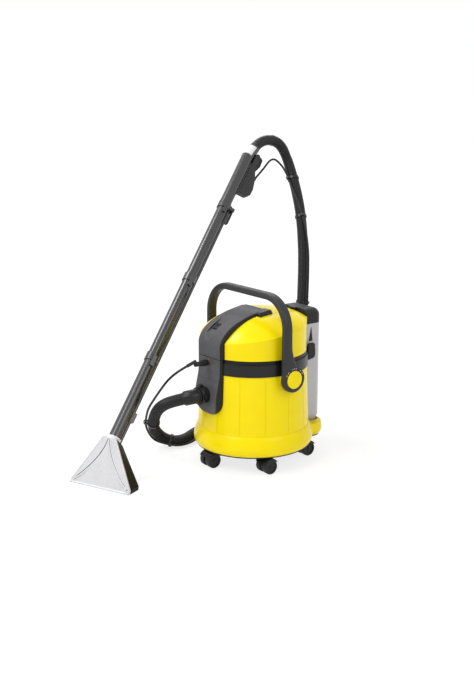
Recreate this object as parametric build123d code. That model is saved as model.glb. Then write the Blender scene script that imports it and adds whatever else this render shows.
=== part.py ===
from build123d import *
import math
import os

# Canister spray-extraction cleaner: drum on casters, lift-off head and tank, hose, wand and floor nozzle.
# The machine's own frame has the drum's axis at X = Y = 0, the floor at Z = 0 and the front towards -Y.
# The wand has a frame of its own: Z runs along the tubes and Y towards the side of its spray pipe.

# ---------------------------------------------------------------- clearances
GAP = 0.3          # between curved or flat faces of pieces that move apart
RUN = 0.05         # radial clearance of a pin or shaft in its bore
BIG = 900.0        # cutter size, larger than any piece

# ---------------------------------------------------------------- drum
DRUM_R_LOW = 166.0       # outer radius at the drum's foot
DRUM_R_TOP = 160.0       # outer radius at the drum's rim
DRUM_Z = 112.0           # underside of the drum's floor
DRUM_TOP = 289.0         # rim of the drum
DRUM_WALL = 3.0
DRUM_FLOOR = 3.5
REAR_FLAT = 136.0        # flat at the back, where the tank stands
PANELS = 14              # shallow upright grooves round the drum
GROOVE_W = 1.6
GROOVE_D = 0.8
GROOVE_MARGIN = 3.0

# ---------------------------------------------------------------- skirt and base plate
SKIRT_R = 179.0          # widest radius
SKIRT_WALL = 3.2
SKIRT_DECK = 4.0         # deck that carries the drum
SKIRT_BOTTOM = 54.0
SKIRT_HOLE_R = 118.0     # opening in the deck
SKIRT_STEPS = [(54.0, -7.0), (61.0, -2.0), (72.0, 0.0), (88.0, -2.0), (101.0, -6.0), (DRUM_Z, -12.0)]
LOBE_HALF = 96.0         # rear lobe that carries the tank
LOBE_Y = 220.0
LOBE_CORNER = 52.0
LOBE_BLEND = 16.0
LOBE_TOP = 92.0
PLATE_T = 4.0
PLATE_INSET = 8.5
PLATE_SCREW_R = 1.9
PLATE_SCREW_PCR = 128.0
LOBE_SCREW = (77.0, 190.0)
NOZZLE_SOCKET = 8.0      # how far the lower tube reaches into the nozzle

# ---------------------------------------------------------------- rim band
BAND_R = DRUM_R_TOP + 1.5
BAND_TOP = 333.0
BAND_WALL = 8.0
BAND_GROOVE_Z = 325.0
BAND_GROOVE_D = 3.5
ARM_X = 66.5             # inner face of the arms
ARM_T = 9.0              # arms that reach back beside the tank
ARM_Y = 178.0
ARM_Z = (293.0, 331.0)

# ---------------------------------------------------------------- tank
TANK_HALF = 64.0
TANK_Y = 216.0
TANK_CORNER = 26.0
TANK_FRONT_CLEAR = 1.5
TANK_Z = 74.0
TANK_STEP_Z = 330.0      # above this the tank stands further back, behind the head
TANK_TOP = 398.0
TANK_WALL = 2.5
TANK_TAPER_H = 34.0
TANK_TAPER = 12.0
TANK_GROOVE = (160.0, 176.0, 344.0, 388.0)
LID_TOP = 443.0
LID_WALL = 3.0
LID_ROUND = 24.0
LID_KNUCKLE_R = 3.0
LID_KNUCKLE = (8.0, 8.3, 20.0)
LID_PIN_R = 1.2
LID_TAB_HALF = 15.0
VALVE_Y = 178.0
VALVE_R = 9.0
CATCH_T = 5.0
CATCH_PIN_R = 1.5

# ---------------------------------------------------------------- head
HEAD_R = BAND_R - 4.5
HEAD_WALL = 3.0
HEAD_Z = 335.0
HEAD_REAR_Y = 151.0      # back face of the head, ahead of the tank's upper part
HEAD_REAR_HALF = 66.0
DOME_Y = 30.0            # the crown stands a little behind the drum's axis
DOME = [(0.0, 455.0), (60.0, 450.5), (110.0, 437.0), (141.0, 420.0), (160.0, 406.0), (182.0, 385.0),
        (205.0, 356.0)]
CHASSIS_T = 5.0
CHASSIS_R = HEAD_R - 2.0
SPIGOT_H = 7.0
SPIGOT_CLEAR = 4.0
SEAL_R = 1.8
MOTOR_R = 44.0
MOTOR_TOP = 424.0
FAN_CAN_R = 68.0
FAN_CAN_H = 30.0
FAN_R = 58.0
FAN_H = 14.0
FAN_BLADES = 7
SHAFT_R = 4.0
MOTOR_Y = 20.0
CAGE_R = 40.0
CAGE_Z = 246.0
CAGE_WALL = 2.0
CAGE_SLOTS = 10
FLOAT_R = 18.0
FLOAT_TRAVEL = 16.0
FILTER_R = (25.0, 36.0)
FILTER_H = 26.0

# ---------------------------------------------------------------- console
CONSOLE_HALF = 56.0
CONSOLE_Z = 165.0        # rounded lower end
CONSOLE_SPLIT = 270.0    # seam between lower and middle cover
CONSOLE_CORNER = 44.0
CONSOLE_FRONT = BAND_R + 1.5
CONSOLE_BULGE = CONSOLE_FRONT + 14.0
CONSOLE_EDGE = 8.0        # rounding of the strip's long edges
CONSOLE_SEAM = 0.6
CONSOLE_ARCH = [(CONSOLE_FRONT, 372.0), (CONSOLE_FRONT - 6.0, 391.0), (CONSOLE_FRONT - 20.0, 409.0),
                (112.0, 430.0), (78.0, 443.5), (44.0, 452.5), (2.0, 460.0)]
LIP_R = 11.0             # rounded lip at the console's upper end
LIP_Y = 6.0
LIP_Z = 449.0
LIP_HALF = (50.0, 66.0)
RECESS_C = (-10.0, 421.0)
RECESS_HALF = (15.0, 46.0)
RECESS_DEPTH = 3.0
SWITCH_W = 10.0
SWITCH_L = 22.0

# ---------------------------------------------------------------- suction inlet and spray socket
INLET_Z = 225.0
INLET_R = 25.0
INLET_BORE = 17.5
INLET_FACE = CONSOLE_BULGE + 9.0
SOCKET_Z = 319.0
SOCKET_R = 9.0
SOCKET_FACE = CONSOLE_FRONT + 4.0
SOCKET_BORE = 4.0

# ---------------------------------------------------------------- carry handle
HANDLE_PIVOT_Z = 281.0
HANDLE_OUT = BAND_R + 28.5   # outer face of the legs
HANDLE_LEG_T = 17.0
HANDLE_TOP = 521.0
HANDLE_BAR_T = 20.0
HANDLE_CORNER = 62.0
HANDLE_LEG_Y = (-38.0, -5.0)
HUB_R = 38.0
DISC_R = 26.0
DISC_T = 6.0
DISC_PROUD = 3.0
PIVOT_R = 8.0
PIVOT_FLANGE_R = 15.0
PIVOT_PAD_R = 26.0
PIVOT_PAD_X = BAND_R + 4.5
PIVOT_FLANGE_T = 3.0

# ---------------------------------------------------------------- casters
CASTER_R = 146.0         # circle of the swivel stems
CASTER_COUNT = 5
CASTER_TRAIL = 13.0
WHEEL_R = 22.0
WHEEL_W = 17.0
WHEEL_GAP = 12.0         # between the two wheels of a pair
AXLE_R = 3.0
HOOD_WALL = 2.5
STEM_R = 5.0
STEM_BOSS_R = 10.0
STEM_TOP = 76.0

# ---------------------------------------------------------------- pump and its tubes
PUMP_R = 21.0
PUMP_Y = (-34.0, 62.0)
PUMP_Z = 81.0
TUBE_R = 3.0
TUBE_WALL = 1.0
TUBE_X = 30.0
TUBE_Y = 19.5 - BAND_R
TUBE_LOW = 73.0
NIPPLE_Z = 62.5
NIPPLE_Y = 165.0

# ---------------------------------------------------------------- hose and spray hose
HOSE_R = 17.5
HOSE_WALL = 2.0
SPRAY_R = 3.5
SPRAY_CLEAR = 3.0
CLIP_T = 2.2
CLIP_W = 8.0
CLIP_SLACK = 1.5
ELBOW_R = 21.5
# The hose hangs free, so its points are chosen by hand: from the machine's elbow round to the grip.
HOSE_ROUTE = [
    (-14, -235.5, 219.75), (-56, -258, 204), (-104, -262, 178), (-150, -250, 146), (-190, -234, 111),
    (-220, -218, 76), (-234, -196, 45), (-222, -172, 24), (-200, -146, 18), (-200, -112, 18),
    (-222, -74, 18), (-244, -28, 18), (-264, 24, 18), (-278, 82, 18), (-287, 140, 18),
    (-288, 196, 18.5), (-283, 252, 26), (-272, 300, 52), (-259, 335, 95), (-247, 358, 150),
    (-238, 372, 214), (-232, 379, 284), (-229, 383, 356), (-230, 386, 427), (-233, 390, 495),
    (-240, 395, 563), (-265, 411, 635), (-294, 423, 703), (-335, 439, 762), (-371, 448, 815),
    (-395, 449, 856), (-401, 434, 891), (-403, 407, 913), (-407.5, 369, 919), (-408.9, 332.6, 905.6),
    (-399, 310, 891),
]

# ---------------------------------------------------------------- wand
NOZZLE_AT = (-46.0, -509.0)   # middle of the nozzle's front edge, on the floor
NOZZLE_YAW = 23.3             # turn of the front edge from +X
WAND_FOOT = (71.5, 119.0)     # along the wand's plane from the front edge, and height
WAND_LEAN = 44.0              # elevation of the tubes
WAND_R = 17.5
WAND_WALL = 2.0
WAND_TUBE_L = 292.5
SPRAY_PIPE_R = 5.5
JOINT_R = 20.5
JOINT_L = 26.0
TAB_W = 12.0
TAB_L = 30.0
GRIP_L = 188.0               # straight part, from the last tube to the bend
GRIP_BEND_R = 60.0
GRIP_R = 19.0
VENT_L = 42.0                # clear slider round the grip's end
VENT_START = 9.0
VENT_T = 3.0
NOZZLE_W = 204.0
NOZZLE_D = 46.0
NOZZLE_WALL = 3.0
NOZZLE_NECK = 44.0
COVER_T = 5.0
RIDGE_R = 2.6
RIDGE_BOW = 20.0
KNOB_R = 5.5
KNOB_L = 12.0
KNOB_Z = 88.0
GUN_HALF = 13.0
GUN_SIDE = [(58.0, 21.5), (64.0, 52.0), (76.0, 62.0), (98.0, 63.0), (132.0, 56.0), (160.0, 45.0),
            (186.0, 40.0), (222.0, 40.0), (228.0, 32.0), (220.0, 21.5)]
GUN_PIN_R = 3.0
GUN_NIPPLE = [(49.0, 118.0), (56.0, 146.0)]   # root and mouth, across and along the grip
WAND_ROLL = 35.0              # turn of the spray side about the tubes, towards the machine's front
TRIGGER_AT = (32.0, 210.0)    # the trigger's pin, across and along the grip
TRIGGER_SIDE = [(27.5, 204.0), (27.5, 217.0), (45.0, 223.0), (52.0, 216.0), (52.0, 188.0), (46.0, 168.0),
                (36.0, 168.0)]
TRIGGER_SLOT = (26.0, 160.0, 226.0)
LOCK_HALF = 4.0
LOCK_L = 12.0
LOCK_TRAVEL = 8.0
LEVER_AT = (31.5, -12.0)      # the coupling lever's pin, across and along from the grip's foot
LEVER_HALF = 8.0
LEVER_PIN_R = 1.8
LEVER_EAR = (8.3, 11.0)

# The spray hose leaves its plug, joins the suction hose at HOSE_JOINS and leaves it at HOSE_LEAVES.
PLUG_TIP = (0, -238, 319)
LEAD_ROUTE = [(-4, -262, 309), (-24, -274, 290), (-48, -277, 269), (-80, -277, 238), (-118, -275, 201),
              (-160, -272, 159)]
HOSE_JOINS = 4
HOSE_LEAVES = 29
TAIL_ROUTE = [(-386, 407, 844), (-385, 382, 857), (-374, 352, 848), (-361, 320, 825)]
SPRAY_SIDE = {4: (-0.6, -0.8, 0.1), 5: (-0.6, -0.8, 0.0), 6: (0.1, -1.0, -0.2), 7: (0.8, -0.6, -0.3),
              8: (0.8, -0.3, -0.3), 10: (0.9, 0.4, -0.2), 14: (1.0, 0.1, 0.0), 25: (0.95, 0.15, 0.15),
              27: (0.7, -0.6, -0.1), 29: (0.1, -1.0, -0.2)}
CLIPS_AT = [4, 7, 22, 26, 28]


# ================================================================ helpers
def slab(x0, x1, y0, y1, z0, z1):
    """A box between limits."""
    return Pos((x0 + x1) / 2, (y0 + y1) / 2, (z0 + z1) / 2) * Box(abs(x1 - x0), abs(y1 - y0), abs(z1 - z0))


def rod(radius, start, end):
    """A cylinder from one point to another."""
    start, end = Vector(*start), Vector(*end)
    frame = Plane(origin=start, z_dir=end - start)
    return frame * Cylinder(radius, (end - start).length, align=(Align.CENTER, Align.CENTER, Align.MIN))


def pipe(outer, inner, start, end):
    """A straight tube from one point to another."""
    return rod(outer, start, end) - rod(inner, start, end)


def prism(face, z0, z1):
    """A flat face drawn on XY, raised from z0 to z1."""
    return extrude(Pos(0, 0, z0) * face, amount=z1 - z0)


def fillet_radii(points, share=0.45):
    """The largest arc that fits each corner of a route, taken as a share of its shorter run."""
    points = [Vector(*p) for p in points]
    radii = []
    for before, here, after in zip(points, points[1:], points[2:]):
        turn = math.radians((here - before).get_angle(after - here))
        radii.append(share * min((here - before).length, (after - here).length) / math.tan(turn / 2))
    return radii


def route_path(points, name):
    """Straight runs joined by tangent arcs."""
    radii = fillet_radii(points)
    print(name, "bend radii:", [round(r) for r in radii])
    return FilletPolyline(*[Vector(*p) for p in points], radius=radii)


def tube(path, outer, inner=0.0):
    """A round tube, or a rod where inner is 0, along a path."""
    start = Plane(origin=path @ 0, z_dir=path % 0)
    ring = start * (Circle(outer) - Circle(inner) if inner else Circle(outer))
    return sweep(ring, path=path)


def d_plan(radius, flat):
    """A circle cut off square at the back."""
    return Circle(radius) & Pos(0, flat - BIG / 2) * Rectangle(BIG, BIG)


# ================================================================ drum, skirt and base
def drum_radius(z):
    return DRUM_R_LOW + (DRUM_R_TOP - DRUM_R_LOW) * (z - DRUM_Z) / (DRUM_TOP - DRUM_Z)


def drum_envelope(grow=0.0, z0=DRUM_Z, z1=DRUM_TOP):
    rings = [Pos(0, 0, z) * d_plan(drum_radius(z) + grow, REAR_FLAT + grow) for z in (z0, z1)]
    return loft(rings, ruled=True)


def groove_cutter(angle):
    """A thin upright cutter that leaves a shallow groove in the drum."""
    low, high = DRUM_Z + GROOVE_MARGIN, DRUM_TOP - GROOVE_MARGIN
    outline = [(drum_radius(low) - GROOVE_D, low), (drum_radius(low) + 5, low),
               (drum_radius(high) + 5, high), (drum_radius(high) - GROOVE_D, high)]
    blade = extrude(Plane.XZ * make_face(Polyline(*outline, close=True)), amount=GROOVE_W / 2, both=True)
    return Rot(0, 0, angle) * blade


def inlet_axis(y):
    return (0, y, INLET_Z)


def inlet_cutter():
    return rod(INLET_BORE + 2 + RUN, inlet_axis(-DRUM_R_TOP / 2), inlet_axis(-INLET_FACE - 1))


def socket_cutter():
    return rod(SOCKET_R + RUN, (0, -DRUM_R_TOP / 2, SOCKET_Z), (0, -SOCKET_FACE - 1, SOCKET_Z))


def drum_shell():
    inner = drum_envelope(-DRUM_WALL, DRUM_Z + DRUM_FLOOR, DRUM_TOP + 1)
    shell = drum_envelope()
    for side in (-1, 1):
        root = (side * (PIVOT_PAD_X - 46), 0, HANDLE_PIVOT_Z)
        pad = rod(PIVOT_PAD_R, root, (side * PIVOT_PAD_X, 0, HANDLE_PIVOT_Z))
        shell += pad & slab(-BIG, BIG, -BIG, BIG, 0, DRUM_TOP)
    for i in range(PANELS):
        angle = -90 + 180 / PANELS + i * 360 / PANELS
        if math.sin(math.radians(angle)) < REAR_FLAT / DRUM_R_LOW - 0.05:
            shell -= groove_cutter(angle)
    shell -= inner
    shell -= inlet_cutter()
    return shell - rod(TUBE_R + GAP, (TUBE_X, TUBE_Y, DRUM_Z - 1), (TUBE_X, TUBE_Y, DRUM_Z + 10))


def skirt_grow(z):
    """How far the skirt's outline stands out or in at a height."""
    for (z0, g0), (z1, g1) in zip(SKIRT_STEPS, SKIRT_STEPS[1:]):
        if z <= z1:
            return g0 + (g1 - g0) * (z - z0) / (z1 - z0)
    return SKIRT_STEPS[-1][1]


def skirt_plan(grow):
    side, back = LOBE_HALF + grow, LOBE_Y + grow
    plan = Circle(SKIRT_R + grow) + Pos(0, back / 2) * Rectangle(2 * side, back)
    plan = fillet(plan.vertices().sort_by(Axis.Y)[-2:], LOBE_CORNER + grow)
    joints = [v for v in plan.vertices() if abs(abs(v.X) - side) < 0.01]
    return fillet(ShapeList(joints).sort_by(Axis.Y)[:2], LOBE_BLEND)


def skirt_envelope(inset, heights):
    return loft([Pos(0, 0, z) * skirt_plan(skirt_grow(z) - inset) for z in heights])


def tank_plan(grow, front):
    depth = TANK_Y + grow - front
    plan = Pos(0, front + depth / 2) * Rectangle(2 * (TANK_HALF + grow), depth)
    return fillet(plan.vertices().sort_by(Axis.Y)[-2:], TANK_CORNER + grow)


def ring_places(count, radius, first):
    angles = [math.radians(first + i * 360 / count) for i in range(count)]
    return [(radius * math.cos(a), radius * math.sin(a)) for a in angles]


def caster_places():
    return ring_places(CASTER_COUNT, CASTER_R, -90)


def screw_places():
    ring = ring_places(CASTER_COUNT, PLATE_SCREW_PCR, -90 + 180 / CASTER_COUNT)
    x, y = LOBE_SCREW
    return [place for place in ring if place[1] < REAR_FLAT - 20] + [(-x, y), (x, y)]


def base_skirt():
    outer = skirt_envelope(0, [z for z, _ in SKIRT_STEPS])
    deck_z = DRUM_Z - SKIRT_DECK
    between = [z for z, _ in SKIRT_STEPS if SKIRT_BOTTOM < z < deck_z]
    inner = skirt_envelope(SKIRT_WALL, [SKIRT_BOTTOM - 1] + between + [deck_z])
    skirt = outer - inner
    skirt -= Pos(0, 0, deck_z) * Cylinder(SKIRT_HOLE_R, 3 * SKIRT_DECK)
    for x, y in screw_places():
        post = rod(5, (x, y, SKIRT_BOTTOM), (x, y, deck_z + 1))
        skirt += post & outer
    # the lobe is cut down to a seat for the tank, with a tub that holds the tank's foot
    rear = slab(-BIG, BIG, REAR_FLAT, BIG, 0, BIG)
    lobe = outer & rear
    skirt -= slab(-BIG, BIG, REAR_FLAT, BIG, LOBE_TOP, BIG)
    skirt += lobe & slab(-BIG, BIG, 0, BIG, LOBE_TOP - SKIRT_WALL, LOBE_TOP)
    tub_floor = TANK_Z - GAP
    skirt += lobe & prism(tank_plan(SKIRT_WALL, REAR_FLAT), tub_floor - SKIRT_WALL, LOBE_TOP)
    skirt += outer & slab(-BIG, BIG, REAR_FLAT - SKIRT_WALL, REAR_FLAT, tub_floor - SKIRT_WALL, DRUM_Z)
    skirt -= prism(tank_plan(1.0, REAR_FLAT + 0.5), tub_floor, BIG)
    skirt -= rod(VALVE_R + 4, (0, VALVE_Y, SKIRT_BOTTOM), (0, VALVE_Y, TANK_Z))
    for x, y in screw_places():
        skirt -= rod(PLATE_SCREW_R + RUN, (x, y, SKIRT_BOTTOM - 1), (x, y, SKIRT_BOTTOM + 16))
    return skirt - rod(TUBE_R + GAP, (TUBE_X, TUBE_Y, deck_z - 5), (TUBE_X, TUBE_Y, DRUM_Z + 1))


def base_plate():
    plate = prism(skirt_plan(-PLATE_INSET), SKIRT_BOTTOM - PLATE_T, SKIRT_BOTTOM)
    for x, y in caster_places():
        plate += rod(STEM_BOSS_R, (x, y, SKIRT_BOTTOM), (x, y, STEM_TOP + 3))
    for x, y in screw_places():
        plate -= rod(PLATE_SCREW_R + RUN, (x, y, 0), (x, y, SKIRT_BOTTOM + 1))
    for y in (PUMP_Y[0] + 20, PUMP_Y[1] - 20):
        saddle = slab(-26, 26, y - 4, y + 4, SKIRT_BOTTOM, PUMP_Z)
        plate += saddle - rod(PUMP_R, (0, y - 5, PUMP_Z), (0, y + 5, PUMP_Z))
    for x, y in caster_places():
        plate -= rod(STEM_R + RUN, (x, y, 0), (x, y, STEM_TOP + 0.5))
    return plate


def base_screws():
    screws = []
    for x, y in screw_places():
        head = rod(3.6, (x, y, SKIRT_BOTTOM - PLATE_T - 2.4), (x, y, SKIRT_BOTTOM - PLATE_T))
        shank = rod(PLATE_SCREW_R, (x, y, SKIRT_BOTTOM - PLATE_T - 1), (x, y, SKIRT_BOTTOM + 14))
        screws.append(head + shank)
    return Compound(children=screws)


def rim_band():
    low = prism(d_plan(BAND_R, REAR_FLAT), DRUM_TOP, BAND_GROOVE_Z)
    high = prism(d_plan(BAND_R - BAND_GROOVE_D, REAR_FLAT - BAND_GROOVE_D), BAND_GROOVE_Z, BAND_TOP)
    band = low + high
    for side in (-1, 1):
        arm = slab(side * ARM_X, side * (ARM_X + ARM_T), REAR_FLAT - 8, ARM_Y, *ARM_Z)
        arm = fillet(arm.edges().filter_by(Axis.X).group_by(Axis.Y)[-1], 12)
        band += arm
    x, y = catch_axis()
    lug = slab(ARM_X + ARM_T - 1, x + CATCH_T / 2, y - 4, y + 4, ARM_Z[0], ARM_Z[0] + 6 - GAP)
    band += lug - rod(CATCH_PIN_R + RUN, (x, y, 0), (x, y, BIG))
    band -= prism(d_plan(BAND_R - BAND_WALL, REAR_FLAT - BAND_WALL), DRUM_TOP - 1, BAND_TOP + 1)
    return band - socket_cutter()


def handle_pivots():
    pins = []
    for side in (-1, 1):
        face, z = PIVOT_PAD_X, HANDLE_PIVOT_Z
        flange = rod(PIVOT_FLANGE_R, (side * face, 0, z), (side * (face + PIVOT_FLANGE_T), 0, z))
        pins.append(flange + rod(PIVOT_R, (side * face, 0, z), (side * (HANDLE_OUT - DISC_T - 1), 0, z)))
    return Compound(children=pins)


# ================================================================ console
def inset_points(points, inset):
    """Moves an open outline sideways, to its right as it runs."""
    moved = []
    for i, (x, y) in enumerate(points):
        x0, y0 = points[max(i - 1, 0)]
        x1, y1 = points[min(i + 1, len(points) - 1)]
        length = math.hypot(x1 - x0, y1 - y0)
        moved.append((x + inset * (y1 - y0) / length, y - inset * (x1 - x0) / length))
    return moved


def console_envelope(inset=0.0):
    """The whole console strip, up the front and over the head."""
    low = [(-CONSOLE_BULGE + 8, CONSOLE_Z), (-CONSOLE_BULGE + 1, 190.0), (-CONSOLE_BULGE, 222.0),
           (-CONSOLE_BULGE + 7, 258.0), (-CONSOLE_FRONT, 300.0)]
    arch = [(-y, z) for y, z in CONSOLE_ARCH]
    low, arch = inset_points(low, inset), inset_points(arch, inset)
    edges = Spline(*low) + Line(low[-1], arch[0]) + Spline(*arch)
    back = Polyline(arch[-1], (arch[-1][0], 300.0), (-110.0, 300.0), (-110.0, low[0][1]), low[0])
    side = Plane.YZ * make_face(edges + back)
    half = CONSOLE_HALF - inset
    strip = extrude(side, amount=half, both=True)
    outline = Pos(0, (CONSOLE_Z + inset + 500) / 2) * Rectangle(2 * half, 500 - CONSOLE_Z - inset)
    outline = fillet(outline.vertices().sort_by(Axis.Y)[:2], CONSOLE_CORNER - inset)
    strip &= extrude(Pos(0, 80, 0) * (Plane.XZ * outline), amount=400)
    return fillet(console_rim(strip), CONSOLE_EDGE - inset)


def console_rim(strip):
    """The long outer edges of the strip: down one side, round the bottom and up the other."""
    def outer(place):
        beside = abs(place.X) > 40 and place.Y < -90 and (place.Y < -150 or place.Z > 400)
        return beside or (place.Z < CONSOLE_Z + 5 and place.Y < -160)
    return [edge for edge in strip.edges() if outer(edge.center())]


def console_shell(z0, z1):
    shell = console_envelope() - console_envelope(3.0)
    return shell & slab(-BIG, BIG, -BIG, BIG, z0, z1)


def machine_body(grow):
    """What the console lies against: drum, band and head, grown by a clearance."""
    band = prism(d_plan(BAND_R + grow, REAR_FLAT), DRUM_TOP - 5, HEAD_Z)
    return drum_envelope(grow, DRUM_Z, DRUM_TOP + 2) + band


def console_lower():
    cover = console_shell(CONSOLE_Z, CONSOLE_SPLIT) - machine_body(GAP)
    return cover - inlet_cutter()


def console_middle():
    cover = console_shell(CONSOLE_SPLIT + CONSOLE_SEAM, BAND_TOP) - machine_body(GAP)
    return cover - socket_cutter()


def head_plan(grow):
    back = HEAD_REAR_Y + grow
    plan = Circle(HEAD_R + grow) + Pos(0, back / 2) * Rectangle(2 * (HEAD_REAR_HALF + grow), back)
    return plan & Pos(0, back - BIG / 2) * Rectangle(BIG, BIG)


def dome(drop=0.0, grow=0.0):
    """The head's crown as a turned solid about its own axis."""
    points = [(r, z - drop) for r, z in DOME]
    rim = points[-1]
    outline = Spline(*points) + Polyline(rim, (rim[0], 200.0), (0.0, 200.0), points[0])
    crown = revolve(Plane.XZ * make_face(outline), axis=Axis.Z)
    return Pos(0, DOME_Y, grow) * crown


def head_envelope(inset=0.0):
    return prism(head_plan(-inset), HEAD_Z - (1 if inset else 0), 480) & dome(inset)


def lip_bar(grow=0.0):
    left, right = LIP_HALF
    bar = rod(LIP_R + grow, (-left - grow, LIP_Y, LIP_Z), (right + grow, LIP_Y, LIP_Z))
    return bar if grow else fillet(bar.edges(), 4)


def recess_place():
    """Middle of the switch recess on the arch, with its outward direction."""
    (y0, z0), (y1, z1) = (-CONSOLE_ARCH[2][0], CONSOLE_ARCH[2][1]), (-CONSOLE_ARCH[3][0], CONSOLE_ARCH[3][1])
    along = Vector(0, y1 - y0, z1 - z0).normalized()
    out = Vector(0, -along.Z, along.Y)
    middle = Vector(RECESS_C[0], (y0 + y1) / 2, (z0 + z1) / 2)
    return Plane(origin=middle, x_dir=Vector(1, 0, 0), z_dir=out)


def console_upper():
    cover = console_envelope() - console_envelope(3.0)
    cover += console_envelope() & recess_block(RECESS_DEPTH + 2.5)
    cover = cover & slab(-BIG, BIG, -BIG, BIG, HEAD_Z, BIG)
    cover += lip_bar()
    cover -= prism(head_plan(GAP), HEAD_Z - 5, 500) & dome(-GAP)
    cover -= recess_block(RECESS_DEPTH)
    for x in switch_places():
        cover -= recess_place() * Pos(x, 0, 0) * Box(SWITCH_W + 0.8, SWITCH_L + 0.8, 30)
    return cover


def recess_block(depth):
    """An oval prism centred on the arch, reaching depth below its chord."""
    half_w, half_l = RECESS_HALF
    grow = 2.5 if depth > RECESS_DEPTH else 0.0
    oval = RectangleRounded(2 * (half_w + grow), 2 * (half_l + grow), half_w + grow - 0.1)
    return recess_place() * Pos(0, 0, -depth) * extrude(oval, amount=40)


def switch_places():
    return (-SWITCH_W / 2 - 1.2, SWITCH_W / 2 + 1.2)


def switch(index):
    """A rocker that stands in the recess and turns about a cross axis."""
    side = [(-SWITCH_L / 2, -7), (-SWITCH_L / 2, 0.5), (0, -0.8), (SWITCH_L / 2, 2.8), (SWITCH_L / 2, -7)]
    rocker = extrude(Plane.YZ * make_face(Polyline(*side, close=True)), amount=SWITCH_W / 2, both=True)
    reach = rod(SWITCH_L / 2, (-BIG, 0, -3), (BIG, 0, -3))
    return recess_place() * Pos(switch_places()[index], 0, 0) * (rocker & reach)


# ================================================================ head
def head_cover():
    cover = head_envelope() - head_envelope(HEAD_WALL)
    cover -= lip_bar(GAP)
    cover -= Pos(0, HEAD_REAR_Y, 0) * prism(Rectangle(2 * LID_TAB_HALF + 4, 14), 400, 500)
    for x in switch_places():
        cover -= recess_place() * Pos(x, 0, 0) * Box(SWITCH_W + 3, SWITCH_L + 3, 40)
    return cover


def head_chassis():
    z = BAND_TOP + GAP
    plate = prism(d_plan(CHASSIS_R, REAR_FLAT), z, HEAD_Z)
    plate += prism(head_plan(-HEAD_WALL - GAP), HEAD_Z, z + CHASSIS_T)
    spigot_r = BAND_R - BAND_WALL - SPIGOT_CLEAR
    flat = REAR_FLAT - BAND_WALL - SPIGOT_CLEAR
    spigot = d_plan(spigot_r, flat) - d_plan(spigot_r - 4, flat - 4)
    plate += prism(spigot, z - SPIGOT_H, z)
    return plate - rod(FAN_R / 3, (0, MOTOR_Y, 0), (0, MOTOR_Y, BIG))


def head_seal():
    inner_r = BAND_R - BAND_WALL - SPIGOT_CLEAR
    flat = REAR_FLAT - BAND_WALL - SPIGOT_CLEAR
    outer_r = inner_r + SPIGOT_CLEAR - GAP
    ring = d_plan(outer_r, flat + SPIGOT_CLEAR - GAP) - d_plan(inner_r, flat)
    z = BAND_TOP - SPIGOT_H / 2
    return prism(ring, z, z + 2 * SEAL_R)


def motor_floor():
    return BAND_TOP + GAP + CHASSIS_T


def motor():
    z = motor_floor()
    can = Pos(0, 0, z) * Cylinder(FAN_CAN_R, FAN_CAN_H, align=(Align.CENTER, Align.CENTER, Align.MIN))
    can += rod(MOTOR_R, (0, 0, z + FAN_CAN_H), (0, 0, MOTOR_TOP))
    can -= rod(FAN_R + 3, (0, 0, z + 3), (0, 0, z + FAN_CAN_H - 3))
    can -= rod(FAN_R / 3, (0, 0, z - 1), (0, 0, z + 4))
    can -= rod(SHAFT_R + RUN, (0, 0, z), (0, 0, MOTOR_TOP - 5))
    return Pos(0, MOTOR_Y, 0) * can


def fan_rotor():
    z = motor_floor() + 3 + (FAN_CAN_H - 6 - FAN_H) / 2
    rotor = rod(FAN_R, (0, 0, z), (0, 0, z + 1.5)) + rod(10, (0, 0, z), (0, 0, z + FAN_H))
    for i in range(FAN_BLADES):
        blade = slab(8, FAN_R - 2, -0.75, 0.75, z + 1, z + FAN_H)
        rotor += Rot(0, 0, i * 360 / FAN_BLADES) * blade
    rotor += rod(SHAFT_R, (0, 0, z), (0, 0, MOTOR_TOP - 5.5))
    return Pos(0, MOTOR_Y, 0) * rotor


def float_cage():
    top = BAND_TOP + GAP
    cage = rod(CAGE_R, (0, 0, CAGE_Z), (0, 0, top))
    cage -= rod(CAGE_R - CAGE_WALL, (0, 0, CAGE_Z + CAGE_WALL), (0, 0, top + 1))
    for i in range(CAGE_SLOTS):
        window = slab(CAGE_R - 3 * CAGE_WALL, CAGE_R + 1, -5, 5, CAGE_Z + 6, CAGE_Z + 42)
        cage -= Rot(0, 0, i * 360 / CAGE_SLOTS) * window
    seat_z = CAGE_Z + CAGE_WALL + GAP + 2 * FLOAT_R + FLOAT_TRAVEL
    shelf = rod(CAGE_R - CAGE_WALL / 2, (0, 0, seat_z), (0, 0, seat_z + CAGE_WALL))
    shelf -= rod(FLOAT_R * 0.7, (0, 0, 0), (0, 0, BIG))
    return Pos(0, MOTOR_Y, 0) * (cage + shelf)


def float_ball():
    return Pos(0, MOTOR_Y, CAGE_Z + CAGE_WALL + GAP + FLOAT_R) * Sphere(FLOAT_R)


def cartridge_filter():
    base = CAGE_Z + CAGE_WALL + GAP + 2 * FLOAT_R + FLOAT_TRAVEL + CAGE_WALL
    ring = pipe(FILTER_R[1], FILTER_R[0], (0, MOTOR_Y, base), (0, MOTOR_Y, base + FILTER_H))
    return ring


def head_screws():
    screws = []
    for x, y in ring_places(4, CHASSIS_R - 37, 45):
        z = BAND_TOP + GAP + CHASSIS_T
        screws.append(rod(4.0, (x, y, z), (x, y, z + 2.4)))
    return Compound(children=screws)


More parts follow.
